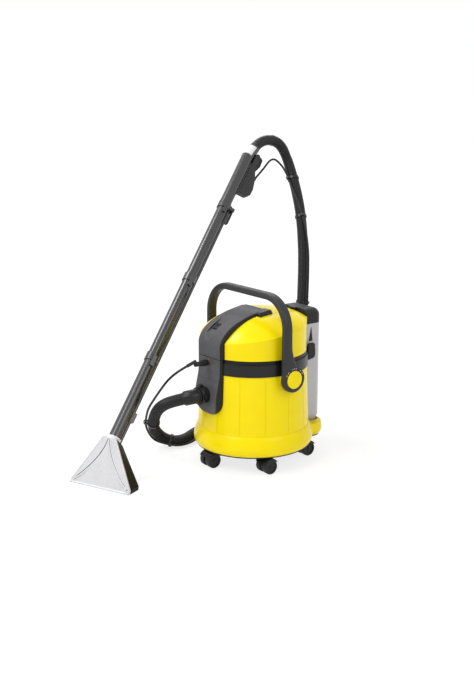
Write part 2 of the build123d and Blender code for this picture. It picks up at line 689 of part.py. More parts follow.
# ================================================================ carry handle
def carry_handle():
    low, top = HANDLE_PIVOT_Z - HUB_R - 1, HANDLE_TOP
    outer = Pos(0, (low + top) / 2) * Rectangle(2 * HANDLE_OUT, top - low)
    outer = fillet(outer.vertices().sort_by(Axis.Y)[-2:], HANDLE_CORNER)
    inner_half, inner_top = HANDLE_OUT - HANDLE_LEG_T, top - HANDLE_BAR_T
    inner = Pos(0, (low + inner_top) / 2) * Rectangle(2 * inner_half, inner_top - low + 1)
    inner = fillet(inner.vertices().sort_by(Axis.Y)[-2:], HANDLE_CORNER - HANDLE_LEG_T)
    bow = extrude(Plane.XZ * (outer - inner), amount=100, both=True)
    y0, y1 = HANDLE_LEG_Y
    leg = make_face(Polyline((y0, HANDLE_PIVOT_Z), (y0 + 3, top + 1), (y1 - 3, top + 1),
                             (y1, HANDLE_PIVOT_Z + 90),
                             (y1 + 22, HANDLE_PIVOT_Z + 22), (0, HANDLE_PIVOT_Z), close=True))
    hub = Pos(0, HANDLE_PIVOT_Z) * Circle(HUB_R)
    side = extrude(Plane.YZ * (leg + hub), amount=BIG, both=True)
    handle = bow & side
    outer_edges = [e for e in handle.edges() if e.center().Z > HANDLE_PIVOT_Z + 60 and e.length > 40]
    handle = fillet(outer_edges, 5.5)
    for side in (-1, 1):
        face, z = side * HANDLE_OUT, HANDLE_PIVOT_Z
        handle -= rod(DISC_R + 0.4, (face - side * (DISC_T - DISC_PROUD), 0, z), (face + side, 0, z))
        handle -= rod(PIVOT_R + RUN, (side * 150, 0, z), (face, 0, z))
    return handle


def handle_discs():
    discs = []
    for side in (-1, 1):
        inner = HANDLE_OUT - DISC_T + DISC_PROUD
        disc = rod(DISC_R, (side * inner, 0, HANDLE_PIVOT_Z), (side * (inner + DISC_T), 0, HANDLE_PIVOT_Z))
        rim = disc.edges().filter_by(GeomType.CIRCLE).sort_by(Axis.X)[-1 if side > 0 else 0]
        discs.append(fillet(rim, 2))
    return Compound(children=discs)


# ================================================================ tank
def tank_front_low():
    return REAR_FLAT + TANK_FRONT_CLEAR


def tank_front_high():
    return HEAD_REAR_Y + TANK_FRONT_CLEAR


def tank_envelope(inset=0.0):
    foot_z, step, top = TANK_Z + inset, TANK_STEP_Z, TANK_TOP
    low, high = tank_front_low() + inset, tank_front_high() + inset
    taper = [Pos(0, 0, foot_z) * tank_plan(-TANK_TAPER - inset, low + TANK_TAPER / 2),
             Pos(0, 0, TANK_Z + TANK_TAPER_H) * tank_plan(-inset, low)]
    body = loft(taper, ruled=True) + prism(tank_plan(-inset, low), TANK_Z + TANK_TAPER_H, step - inset)
    return body + prism(tank_plan(-inset, high), step - inset, top + (1 if inset else 0))


def tank_grooves():
    y0, y1, z0, z1 = TANK_GROOVE
    cuts = []
    for side in (-1, 1):
        wedge = make_face(Polyline((y0, z0), (y1, z0), (y1 - 4, z1), (y1 - 7, z1), close=True))
        blade = extrude(Plane.YZ * wedge, amount=2)
        cuts.append(Pos(TANK_HALF - 1.2 if side > 0 else -TANK_HALF - 0.8, 0, 0) * blade)
    return cuts


def tank_body():
    tank = tank_envelope() - tank_envelope(TANK_WALL)
    for cut in tank_grooves():
        tank -= cut
    y, z = lid_hinge()
    half, near, far = LID_KNUCKLE
    for x0, x1 in ((near, far), (-far, -near)):
        tank += rod(LID_KNUCKLE_R, (x0, y, z), (x1, y, z))
        tank += slab(x0, x1, TANK_Y - TANK_WALL, y, z - 3 * LID_KNUCKLE_R, TANK_TOP)
    tank -= rod(LID_PIN_R + RUN, (-far, y, z), (far, y, z))
    return tank - rod(VALVE_R + RUN, (0, VALVE_Y, TANK_Z - 1), (0, VALVE_Y, TANK_Z + TANK_WALL + 1))


def lid_hinge():
    return (TANK_Y + LID_KNUCKLE_R + 0.5, TANK_TOP + GAP / 2)


def lid_ridge(cap, top, front):
    """The cap's upper edges, without the one along its front."""
    high = [edge for edge in cap.edges() if abs(edge.center().Z - top) < 0.1]
    return [edge for edge in high if edge.center().Y > front + 1]


def tank_lid():
    z0 = TANK_TOP + GAP
    plan = tank_plan(0, tank_front_high())
    lid = prism(plan, z0, LID_TOP)
    lid = fillet(lid_ridge(lid, LID_TOP, tank_front_high()), LID_ROUND)
    core = prism(tank_plan(-LID_WALL, tank_front_high() + LID_WALL), z0 - 1, LID_TOP - LID_WALL)
    inner_ridge = lid_ridge(core, LID_TOP - LID_WALL, tank_front_high() + LID_WALL)
    lid -= fillet(inner_ridge, LID_ROUND - LID_WALL)
    lid += slab(-LID_TAB_HALF, LID_TAB_HALF, HEAD_REAR_Y - 6, tank_front_high() + 4, LID_TOP - 5, LID_TOP)
    y, z = lid_hinge()
    half, near, far = LID_KNUCKLE
    lid += rod(LID_KNUCKLE_R, (-half, y, z), (half, y, z)) + rod(LID_PIN_R, (-far, y, z), (far, y, z))
    return lid + slab(-half, half, TANK_Y - LID_WALL, y, z0, z0 + LID_KNUCKLE_R)


def tank_valve():
    low, high = (0, VALVE_Y, TANK_Z - 5), (0, VALVE_Y, TANK_Z + 12)
    return rod(VALVE_R, low, high) + rod(VALVE_R + 3, (0, VALVE_Y, TANK_Z + TANK_WALL + 3.5), high)


def valve_seat():
    """Rubber cup under the lobe that takes the tank's valve, with a nipple for the feed tube."""
    cup = rod(VALVE_R + 4, (0, VALVE_Y, NIPPLE_Z - TUBE_R - 2), (0, VALVE_Y, TANK_Z - GAP))
    cup += rod(TUBE_R + 1.5, (0, VALVE_Y - 5, NIPPLE_Z), (0, NIPPLE_Y - 8, NIPPLE_Z))
    cup -= rod(VALVE_R + 1, (0, VALVE_Y, TANK_Z - 6), (0, VALVE_Y, TANK_Z))
    bore = TUBE_R - TUBE_WALL
    cup -= rod(bore, (0, VALVE_Y, NIPPLE_Z), (0, VALVE_Y, TANK_Z))
    cup -= rod(bore, (0, VALVE_Y, NIPPLE_Z), (0, 0, NIPPLE_Z))
    return cup - rod(TUBE_R + RUN, (0, NIPPLE_Y, NIPPLE_Z), (0, 0, NIPPLE_Z))


def tank_catch():
    """Side lever on the right-hand arm, turning about an upright line at its front end."""
    x, y = catch_axis()
    low, high = ARM_Z[0] + 6, ARM_Z[1] + 12
    lever = slab(x - CATCH_T / 2, x + CATCH_T / 2, y, ARM_Y - 6, low, high)
    lever = fillet(lever.edges().filter_by(Axis.X).group_by(Axis.Y)[-1], 8)
    barrel = rod(CATCH_T / 2, (x, y, low), (x, y, high))
    return lever + barrel + rod(CATCH_PIN_R, (x, y, ARM_Z[0]), (x, y, low))


def catch_axis():
    return (ARM_X + ARM_T + GAP + CATCH_T / 2, REAR_FLAT + 12)


# ================================================================ casters
def caster_yaw(index):
    """The rear pair trails to the back and the others to the front."""
    return 1 if caster_places()[index][1] > 1 else -1


def wheel_centre(index):
    x, y = caster_places()[index]
    return (x, y + caster_yaw(index) * CASTER_TRAIL, WHEEL_R)


def caster_housing(index):
    x, y = caster_places()[index]
    cx, cy, cz = wheel_centre(index)
    half = WHEEL_GAP / 2 - 0.4
    top = SKIRT_BOTTOM - PLATE_T - 1.2
    web = rod(WHEEL_R - 4, (cx - half, cy, cz), (cx + half, cy, cz))
    web += slab(cx - half, cx + half, min(y, cy) - 6, max(y, cy) + 6, cz, top)
    wide = WHEEL_GAP / 2 + WHEEL_W
    hood = rod(WHEEL_R + 1 + HOOD_WALL, (cx - wide, cy, cz), (cx + wide, cy, cz))
    hood -= rod(WHEEL_R + 1, (cx - wide - 1, cy, cz), (cx + wide + 1, cy, cz))
    hood &= slab(cx - BIG, cx + BIG, cy - BIG, cy + BIG, cz + WHEEL_R * 0.55, top)
    stem = rod(STEM_R, (x, y, top - 6), (x, y, STEM_TOP))
    collar = rod(STEM_R + 3, (x, y, top - 2), (x, y, SKIRT_BOTTOM - PLATE_T - GAP))
    housing = web + hood + stem + collar
    return housing - rod(AXLE_R + RUN, (cx - half - 1, cy, cz), (cx + half + 1, cy, cz))


def caster_wheels(index):
    cx, cy, cz = wheel_centre(index)
    pair = rod(AXLE_R, (cx - WHEEL_GAP / 2 - 4, cy, cz), (cx + WHEEL_GAP / 2 + 4, cy, cz))
    for side in (-1, 1):
        inner, outer = WHEEL_GAP / 2, WHEEL_GAP / 2 + WHEEL_W
        wheel = rod(WHEEL_R, (cx + side * inner, cy, cz), (cx + side * outer, cy, cz))
        rims = wheel.edges().filter_by(GeomType.CIRCLE)
        wheel = fillet(rims, 2.5)
        wheel -= rod(WHEEL_R - 6, (cx + side * (outer - 2), cy, cz), (cx + side * (outer + 1), cy, cz))
        wheel += rod(5, (cx + side * (outer - 3), cy, cz), (cx + side * outer, cy, cz))
        pair += wheel
    return pair


# ================================================================ pump and tubes
def pump():
    y0, y1 = PUMP_Y
    body = rod(PUMP_R, (0, y0, PUMP_Z), (0, y1, PUMP_Z))
    body += rod(TUBE_R + 2, (0, y0 - 12, PUMP_Z), (0, y0, PUMP_Z))
    body += rod(TUBE_R + 2, (0, y1, PUMP_Z), (0, y1 + 12, PUMP_Z))
    return body


def feed_tube():
    points = [(0, NIPPLE_Y, NIPPLE_Z), (0, NIPPLE_Y - 39, NIPPLE_Z), (0, PUMP_Y[1] + 36, PUMP_Z - 0.2),
              (0, PUMP_Y[1] + 12, PUMP_Z)]
    return tube(route_path(points, "feed tube"), TUBE_R, TUBE_R - TUBE_WALL)


def pressure_tube():
    points = [(0, PUMP_Y[0] - 12, PUMP_Z), (0, PUMP_Y[0] - 32, PUMP_Z), (TUBE_X, PUMP_Y[0] - 58, TUBE_LOW),
              (TUBE_X, TUBE_Y, TUBE_LOW), (TUBE_X, TUBE_Y, SOCKET_Z), (SOCKET_R + 3, TUBE_Y, SOCKET_Z + 0.1)]
    return tube(route_path(points, "pressure tube"), TUBE_R, TUBE_R - TUBE_WALL)


def spray_socket():
    back = TUBE_Y + TUBE_R + 3
    inner = -(BAND_R - BAND_WALL)
    body = rod(SOCKET_R - 3, (0, back, SOCKET_Z), (0, inner, SOCKET_Z))
    body += rod(SOCKET_R, (0, inner, SOCKET_Z), (0, -SOCKET_FACE, SOCKET_Z))
    body += rod(TUBE_R + 1.5, (0, TUBE_Y, SOCKET_Z), (SOCKET_R + 2.5, TUBE_Y, SOCKET_Z))
    return body - rod(SOCKET_BORE, (0, TUBE_Y - 4, SOCKET_Z), (0, -SOCKET_FACE - 10, SOCKET_Z))


def suction_inlet():
    inner = -(drum_radius(INLET_Z) - DRUM_WALL - 14)
    collar_y = -(CONSOLE_BULGE + 4 * GAP)
    stub = rod(INLET_BORE + 2, inlet_axis(inner), inlet_axis(-INLET_FACE))
    stub += rod(INLET_R, inlet_axis(collar_y), inlet_axis(-INLET_FACE))
    return stub - rod(INLET_BORE, inlet_axis(inner + 1), inlet_axis(-INLET_FACE - 1))


# ================================================================ hose
def elbow_points():
    """Corner of the elbow: where the hose's first run, carried back, meets the inlet's axis."""
    first, second = Vector(*HOSE_ROUTE[0]), Vector(*HOSE_ROUTE[1])
    back = (first - second).normalized()
    corner = first + back * (first.X / -back.X)
    return [Vector(0, -INLET_FACE, INLET_Z), corner, first]


def inlet_elbow():
    start, corner, end = elbow_points()
    path = FilletPolyline(start, corner, end, radius=24)
    elbow = tube(path, ELBOW_R)
    elbow += rod(INLET_R - 1, start, start - Vector(0, 13, 0))
    elbow += rod(INLET_R - 2, start - Vector(0, 18, 0), start - Vector(0, 22, 0))
    lug = slab(-6, 6, start.Y - 14, start.Y - 1, INLET_Z + INLET_R - 3, INLET_Z + INLET_R + 7)
    elbow += lug
    return elbow - tube(path, HOSE_R - HOSE_WALL)


def suction_hose():
    return tube(route_path(HOSE_ROUTE, "suction hose"), HOSE_R, HOSE_R - HOSE_WALL)


def side_hint(index):
    """Which side of the suction hose the spray hose lies on, blended between the chosen points."""
    keys = sorted(SPRAY_SIDE)
    index = min(max(index, keys[0]), keys[-1])
    for a, b in zip(keys, keys[1:]):
        if a <= index <= b:
            share = (index - a) / (b - a)
            return Vector(*SPRAY_SIDE[a]) * (1 - share) + Vector(*SPRAY_SIDE[b]) * share
    return Vector(*SPRAY_SIDE[keys[-1]])


def beside_hose(index):
    """The spray hose's point beside one point of the suction hose."""
    here = Vector(*HOSE_ROUTE[index])
    run = (Vector(*HOSE_ROUTE[index + 1]) - Vector(*HOSE_ROUTE[index - 1])).normalized()
    hint = side_hint(index)
    out = (hint - run * hint.dot(run)).normalized()
    return here + out * (HOSE_R + SPRAY_R + SPRAY_CLEAR)


def spray_route():
    beside = [beside_hose(i) for i in range(HOSE_JOINS, HOSE_LEAVES + 1)]
    lead = [Vector(*p) for p in [PLUG_TIP] + LEAD_ROUTE]
    tail = [Vector(*p) for p in TAIL_ROUTE]
    return lead + beside + tail + [gun_port(GAP)]


def spray_hose():
    return tube(route_path(spray_route(), "spray hose"), SPRAY_R, 0.0)


def spray_plug():
    y = -SOCKET_FACE - GAP
    tip = Vector(*PLUG_TIP)
    plug = rod(SOCKET_R - 0.5, (0, y, SOCKET_Z), (0, y - 26, SOCKET_Z))
    plug += rod(SOCKET_R - 2, (0, y - 26, SOCKET_Z), (0, y - 44, SOCKET_Z))
    run = (Vector(*LEAD_ROUTE[0]) - tip).normalized()
    plug += rod(SOCKET_R + 1, (0, y - 8, SOCKET_Z), (0, y - 14, SOCKET_Z))
    plug += rod(SPRAY_R + 1.5, tip - run * 30, tip)
    plug += rod(SOCKET_BORE - RUN, (0, y + 12, SOCKET_Z), (0, y, SOCKET_Z))
    return plug


def hose_clips():
    """Split rings that hold the spray hose to the suction hose."""
    clips = []
    for index in CLIPS_AT:
        a, b = Vector(*HOSE_ROUTE[index]), Vector(*HOSE_ROUTE[index + 1])
        middle = (a + b) * 0.5
        run = (b - a).normalized()
        beside = (beside_hose(index) + beside_hose(index + 1)) * 0.5 - middle
        out = beside - run * beside.dot(run)
        frame = Plane(origin=middle - run * CLIP_W / 2, x_dir=out, z_dir=run)
        outer = Circle(HOSE_R + GAP + CLIP_T) + Pos(out.length, 0) * Circle(SPRAY_R + CLIP_SLACK + CLIP_T)
        inner = Circle(HOSE_R + GAP) + Pos(out.length, 0) * Circle(SPRAY_R + CLIP_SLACK)
        clips.append(extrude(frame * (outer - inner), amount=CLIP_W))
    return Compound(children=clips)


# ================================================================ wand
def wand_point(along, height):
    """A point of the wand's upright plane: along the floor from the nozzle's front edge, and height."""
    yaw = math.radians(NOZZLE_YAW)
    return Vector(NOZZLE_AT[0] - along * math.sin(yaw), NOZZLE_AT[1] + along * math.cos(yaw), height)


def front_edge_direction():
    yaw = math.radians(NOZZLE_YAW)
    return Vector(math.cos(yaw), math.sin(yaw), 0)


def wand_direction():
    lean = math.radians(WAND_LEAN)
    ahead = wand_point(1, 0) - wand_point(0, 0)
    return ahead * math.cos(lean) + Vector(0, 0, math.sin(lean))


def wand_frame(distance=0.0):
    """Z along the tubes and Y towards the side that carries the spray pipe."""
    axis = wand_direction()
    level = Plane(origin=wand_point(*WAND_FOOT) + axis * distance, x_dir=front_edge_direction(), z_dir=axis)
    return level * Rot(0, 0, -WAND_ROLL)


def in_wand(distance, x, y, z):
    """A point given in the wand's own frame, as a point of the machine's."""
    return (wand_frame(distance) * Pos(x, y, z)).position


def pipe_y():
    return WAND_R + SPRAY_PIPE_R - 2


def wand_tube(index):
    """One of three equal tubes: bore, spigot below, collar with snap tabs above, and spray pipe alongside."""
    length = WAND_TUBE_L
    body = rod(WAND_R, (0, 0, 0), (0, 0, length)) + rod(JOINT_R, (0, 0, length - JOINT_L), (0, 0, length))
    body += rod(SPRAY_PIPE_R, (0, pipe_y(), 0), (0, pipe_y(), length))
    for side in (-1, 1):
        foot = length - JOINT_L - TAB_L + 12
        tab = slab(side * (WAND_R - 1), side * (JOINT_R + 3.5), -TAB_W / 2, TAB_W / 2, foot, length - 8)
        body += fillet(tab.edges().filter_by(Axis.Y), 1.6)
    if index == 0:
        body += slab(-TAB_W / 2, TAB_W / 2, pipe_y(), pipe_y() + SPRAY_PIPE_R + 5, 74, 104)
    if index == 2:
        body += lever_ears(length)
    spigot = WAND_R - WAND_WALL - 2 * RUN
    depth = JOINT_L - 4 if index else NOZZLE_SOCKET
    body += rod(spigot, (0, 0, -depth), (0, 0, 1))
    body -= rod(spigot - WAND_WALL, (0, 0, -JOINT_L), (0, 0, 20))
    body -= rod(WAND_R - WAND_WALL, (0, 0, 5), (0, 0, length + 1))
    body -= rod(SPRAY_PIPE_R - 2, (0, pipe_y(), -1), (0, pipe_y(), length + 1))
    return body


def lever_ears(length):
    """Two ears at the top of the upper tube, for the coupling lever's pin."""
    y, z = LEVER_AT
    near, far = LEVER_EAR
    ears = slab(near, far, WAND_R, y + 4, length + z - 6, length + z + 6)
    ears += slab(-far, -near, WAND_R, y + 4, length + z - 6, length + z + 6)
    return ears - rod(LEVER_PIN_R + RUN, (-far - 1, y, length + z), (far + 1, y, length + z))


def grip_base():
    """Where the grip starts, above the three tubes."""
    return 3 * WAND_TUBE_L


def gun_port(out=0.0):
    """Mouth of the spray gun's nipple, and points straight out of it."""
    start, mouth = Vector(0, *GUN_NIPPLE[0]), Vector(0, *GUN_NIPPLE[1])
    here = mouth + (mouth - start).normalized() * out
    return in_wand(grip_base(), here.X, here.Y, here.Z)


def grip_route():
    corner = in_wand(grip_base(), 0, 0, GRIP_L)
    away = (Vector(*HOSE_ROUTE[-1]) - corner).normalized()
    return [in_wand(grip_base(), 0, 0, 0), corner, Vector(*HOSE_ROUTE[-1]) - away * GAP]


def grip_path():
    return FilletPolyline(*grip_route(), radius=GRIP_BEND_R)


def grip_tube():
    grip = tube(grip_path(), GRIP_R, WAND_R - WAND_WALL)
    frame = wand_frame(grip_base())
    foot = rod(WAND_R - WAND_WALL - 2 * RUN, (0, 0, -JOINT_L + 4), (0, 0, 1)) + rod(WAND_R, (0, 0, 0), (0, 0, 20))
    foot += rod(JOINT_R + 1, (0, 0, 0), (0, 0, 18)) + rod(SPRAY_PIPE_R, (0, pipe_y(), 0), (0, pipe_y(), 60))
    foot -= rod(WAND_R - 2 * WAND_WALL, (0, 0, -JOINT_L), (0, 0, 21))
    foot -= rod(SPRAY_PIPE_R - 2, (0, pipe_y(), -1), (0, pipe_y(), 61))
    return grip - frame * rod(WAND_R, (0, 0, -1), (0, 0, 20)) + frame * foot


def vent_frame():
    """On the grip's last straight run: Z along it and Y towards the gun, as near as may be."""
    corner, end = grip_route()[1:]
    across = in_wand(0, 1, 0, 0) - in_wand(0, 0, 0, 0)
    return Plane(origin=corner, x_dir=across, z_dir=end - corner)


def vent_slider():
    """Half sleeve on the grip's far side from the gun, over the vent slots, which turns about the grip."""
    sleeve = pipe(GRIP_R + GAP + VENT_T, GRIP_R + GAP, (0, 0, VENT_START), (0, 0, VENT_START + VENT_L))
    return vent_frame() * (sleeve & slab(-BIG, BIG, -BIG, 2.0, 0, BIG))


def gun_outline():
    return make_face(Polyline(*[(y, z) for z, y in GUN_SIDE], close=True))


def spray_gun():
    body = extrude(Plane.YZ * gun_outline(), amount=GUN_HALF, both=True)
    flank = [edge for edge in body.edges() if abs(abs(edge.center().X) - GUN_HALF) < 0.1]
    body = fillet([edge for edge in flank if edge.center().Y > 30], 4)
    floor, low, high = TRIGGER_SLOT
    half = GUN_HALF - 4
    body -= rod(GRIP_R, (0, 0, 0), (0, 0, 260)) + slab(-half, half, floor, BIG, low, high)
    body -= rod(GUN_PIN_R + RUN, (-BIG, *TRIGGER_AT), (BIG, *TRIGGER_AT))
    body += rod(SPRAY_R + 2, *[(0, y, z) for y, z in GUN_NIPPLE])
    return wand_frame(grip_base()) * body - tube(grip_path(), GRIP_R + GAP)


def trigger():
    """Thumb lever in the gun's upper end, turning on a cross pin, with a slot for its lock."""
    half = GUN_HALF - 4 - GAP
    lever = extrude(Plane.YZ * make_face(Polyline(*TRIGGER_SIDE, close=True)), amount=half, both=True)
    lever += rod(GUN_PIN_R, (-GUN_HALF, *TRIGGER_AT), (GUN_HALF, *TRIGGER_AT))
    top, start = lock_place()
    end = start + LOCK_L + LOCK_TRAVEL
    slot = slab(-LOCK_HALF - GAP, LOCK_HALF + GAP, top - 4 - GAP, BIG, start - GAP, end + GAP)
    return wand_frame(grip_base()) * (lever - slot)


def lock_place():
    """Height of the trigger's back and where its lock starts."""
    top, high = TRIGGER_SIDE[3]
    return top, high - LOCK_L - LOCK_TRAVEL - 4


def trigger_lock():
    """Button on the trigger's back that slides along it and holds it down."""
    top, start = lock_place()
    button = slab(-LOCK_HALF, LOCK_HALF, top - 4, top + 2.5, start, start + LOCK_L)
    return wand_frame(grip_base()) * fillet(button.edges().filter_by(Axis.X).group_by(Axis.Y)[-1], 1.5)


def coupling_lever():
    """Lever that clamps the spray pipe's joint between the top tube and the grip."""
    y, z = LEVER_AT
    lever = rod(4.5, (-LEVER_HALF, y, z), (LEVER_HALF, y, z))
    lever += slab(-LEVER_HALF, LEVER_HALF, y - 3, y + 3, z - 54, z)
    lever = fillet(lever.edges().filter_by(Axis.Y).group_by(Axis.Z)[0], 5)
    return wand_frame(grip_base()) * (lever + rod(LEVER_PIN_R, (-LEVER_EAR[1], y, z), (LEVER_EAR[1], y, z)))


# ================================================================ nozzle
def nozzle_section(half_width, centre_along, centre_height, depth, tilt):
    """A rectangle across the nozzle: width along the front edge, depth in the wand's plane, tilted from level."""
    angle = math.radians(tilt)
    ahead = wand_point(1, 0) - wand_point(0, 0)
    normal = Vector(0, 0, 1) * math.cos(angle) + ahead * math.sin(angle)
    frame = Plane(origin=wand_point(centre_along, centre_height), x_dir=front_edge_direction(), z_dir=normal)
    return frame * Rectangle(2 * half_width, depth)


def nozzle_envelope(inset=0.0):
    foot = nozzle_section(NOZZLE_W / 2 - inset, NOZZLE_D / 2, 0, NOZZLE_D - 2 * inset, 0)
    lift = nozzle_section(NOZZLE_W / 2 - inset, NOZZLE_D / 2 + 4, 10, NOZZLE_D - 3 - 2 * inset, 0)
    neck = NOZZLE_NECK / 2 - inset
    top = nozzle_section(neck, WAND_FOOT[0], WAND_FOOT[1], 2 * neck, 90 - WAND_LEAN)
    return loft([foot, lift, top], ruled=True)


def cover_plane():
    """Plane of the nozzle's front face, from its foot to the front of the neck."""
    lean = math.radians(WAND_LEAN)
    neck = NOZZLE_NECK / 2
    top = wand_point(WAND_FOOT[0] - neck * math.sin(lean), WAND_FOOT[1] + neck * math.cos(lean))
    foot = wand_point(5.5, 10)
    return Plane(origin=foot, x_dir=front_edge_direction(), z_dir=(top - foot).cross(front_edge_direction()))


def front_slice(depth):
    """Everything ahead of a plane that lies depth behind the nozzle's front face."""
    facing = cover_plane()
    away = facing.z_dir if facing.z_dir.Y < 0 else facing.z_dir * -1
    return Plane(origin=facing.origin - away * depth, x_dir=front_edge_direction(), z_dir=away) * (
        Pos(0, 0, 150) * Box(600, 600, 300))


def nozzle_ridges():
    """Two bowed ribs from the neck to the foot's corners, along the cover."""
    ribs = []
    for side in (-1, 1):
        top_z = WAND_FOOT[1] - 4
        foot = wand_point(5.0, 12) + front_edge_direction() * side * (NOZZLE_W / 2 - 10)
        top = wand_point(56.0, top_z) + front_edge_direction() * side * 12
        middle = (foot + top) * 0.5 - front_edge_direction() * side * RIDGE_BOW
        path = ThreePointArc(foot, middle, top)
        ribs.append(sweep(Plane(origin=path @ 0, z_dir=path % 0) * Circle(RIDGE_R), path=path))
    return ribs


def nozzle_body():
    shell = nozzle_envelope() - front_slice(COVER_T)
    shell -= nozzle_envelope(NOZZLE_WALL)
    frame = wand_frame(0)
    neck = frame * rod(NOZZLE_NECK / 2, (0, 0, -3), (0, 0, -0.1))
    shell += neck - front_slice(COVER_T)
    shell -= frame * rod(WAND_R - WAND_WALL, (0, 0, -NOZZLE_SOCKET - 1), (0, 0, 1))
    return shell - knob_frame() * rod(KNOB_R - 2 + RUN, (0, 0, -8), (0, 0, 6)) - tip_rod(5)


def nozzle_cover():
    cover = nozzle_envelope() & front_slice(COVER_T - GAP)
    for rib in nozzle_ridges():
        cover += rib & slab(-BIG, BIG, -BIG, BIG, 0.5, BIG)
    return cover - wand_frame(0) * rod(WAND_R - WAND_WALL, (0, 0, -NOZZLE_SOCKET - 1), (0, 0, 1))


def back_frame(height):
    """On the nozzle's back wall at a height: Z straight out of it."""
    lean = math.radians(WAND_LEAN)
    neck = NOZZLE_NECK / 2
    top = wand_point(WAND_FOOT[0] + neck * math.sin(lean), WAND_FOOT[1] - neck * math.cos(lean))
    foot = wand_point(NOZZLE_D + 2.5, 10)
    run = (top - foot) * (1 / (top.Z - foot.Z))
    here = foot + run * (height - foot.Z)
    out = run.cross(front_edge_direction())
    away = out if out.Z < 0 else out * -1
    return Plane(origin=here, x_dir=front_edge_direction(), z_dir=away)


def knob_frame():
    return back_frame(KNOB_Z)


def nozzle_knob():
    """Knurled screw on the back of the nozzle's neck that holds the spray tip."""
    return knob_frame() * (rod(KNOB_R, (0, 0, GAP), (0, 0, KNOB_L)) + rod(KNOB_R - 2, (0, 0, -6), (0, 0, 1)))


def tip_rod(radius):
    """Body of the spray tip, through the nozzle's back wall and down."""
    return rod(radius, wand_point(NOZZLE_D + 4, 30), wand_point(NOZZLE_D + 10, 12))


def spray_tip():
    """Fan-jet tip low behind the nozzle, aimed at the floor."""
    mouth = wand_point(NOZZLE_D + 10, 12)
    aim = (mouth - wand_point(NOZZLE_D + 4, 30)).normalized()
    return tip_rod(5) + rod(3, mouth, mouth + aim * 4)


# ================================================================ assembly
CORDS = ["suction_hose", "spray_hose", "hose_clips", "spray_plug"]


def all_pieces():
    pieces = {
        "drum_shell": drum_shell(), "base_skirt": base_skirt(), "base_plate": base_plate(),
        "base_screws": base_screws(), "rim_band": rim_band(), "handle_pivots": handle_pivots(),
        "console_lower": console_lower(), "console_middle": console_middle(), "console_upper": console_upper(),
        "head_cover": head_cover(), "head_chassis": head_chassis(), "head_seal": head_seal(),
        "head_screws": head_screws(), "motor": motor(), "fan_rotor": fan_rotor(), "float_cage": float_cage(),
        "float_ball": float_ball(), "cartridge_filter": cartridge_filter(),
        "switch_suction": switch(0), "switch_spray": switch(1),
        "carry_handle": carry_handle(), "handle_discs": handle_discs(),
        "tank_body": tank_body(), "tank_lid": tank_lid(), "tank_valve": tank_valve(),
        "valve_seat": valve_seat(), "tank_catch": tank_catch(),
        "pump": pump(), "feed_tube": feed_tube(), "pressure_tube": pressure_tube(),
        "spray_socket": spray_socket(), "suction_inlet": suction_inlet(), "inlet_elbow": inlet_elbow(),
        "suction_hose": suction_hose(), "spray_hose": spray_hose(), "spray_plug": spray_plug(),
        "hose_clips": hose_clips(),
        "grip_tube": grip_tube(), "vent_slider": vent_slider(), "spray_gun": spray_gun(),
        "trigger": trigger(), "trigger_lock": trigger_lock(), "coupling_lever": coupling_lever(),
        "nozzle_body": nozzle_body(), "nozzle_cover": nozzle_cover(), "nozzle_knob": nozzle_knob(),
        "spray_tip": spray_tip(),
    }
    for index, name in enumerate(("wand_tube_lower", "wand_tube_middle", "wand_tube_upper")):
        pieces[name] = wand_frame(index * WAND_TUBE_L) * wand_tube(index)
    for index in range(CASTER_COUNT):
        pieces[f"caster_housing_{index + 1}"] = caster_housing(index)
        pieces[f"caster_wheels_{index + 1}"] = caster_wheels(index)
    return pieces


def row_origin(pieces):
    """The part's origin: on the floor, under the middle of everything but the hoses and what is on them."""
    boxes = [piece.bounding_box() for name, piece in pieces.items() if name not in CORDS]
    low_x, high_x = min(b.min.X for b in boxes), max(b.max.X for b in boxes)
    low_y, high_y = min(b.min.Y for b in boxes), max(b.max.Y for b in boxes)
    return Vector((low_x + high_x) / 2, (low_y + high_y) / 2, 0)


def main():
    os.makedirs("parts", exist_ok=True)
    pieces = all_pieces()
    origin = row_origin(pieces)
    print("origin in the machine's frame:", origin)
    for name, piece in pieces.items():
        moved = Pos(-origin.X, -origin.Y, 0) * piece
        export_step(moved, f"parts/{name}.step")


if __name__ == "__main__":
    main()
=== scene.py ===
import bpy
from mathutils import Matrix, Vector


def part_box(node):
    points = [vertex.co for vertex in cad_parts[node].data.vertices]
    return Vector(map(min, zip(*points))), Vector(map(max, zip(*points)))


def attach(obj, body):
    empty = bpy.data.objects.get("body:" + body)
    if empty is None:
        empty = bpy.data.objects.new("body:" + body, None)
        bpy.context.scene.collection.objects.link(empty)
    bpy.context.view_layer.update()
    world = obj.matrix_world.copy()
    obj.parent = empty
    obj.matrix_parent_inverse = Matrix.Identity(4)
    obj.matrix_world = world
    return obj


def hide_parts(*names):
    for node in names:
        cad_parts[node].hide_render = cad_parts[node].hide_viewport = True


bl_info = {
    "name": "Spray-extraction cleaner",
    "version": (1, 0, 0),
    "blender": (4, 5, 0),
    "location": "3D View > Sidebar > Cleaner",
    "description": "Finishes and details for a spray-extraction cleaner with hose, wand and floor nozzle",
    "category": "Add Mesh",
}

import math

import bmesh
import bpy
from bpy.props import FloatProperty, FloatVectorProperty, PointerProperty
from mathutils import Vector

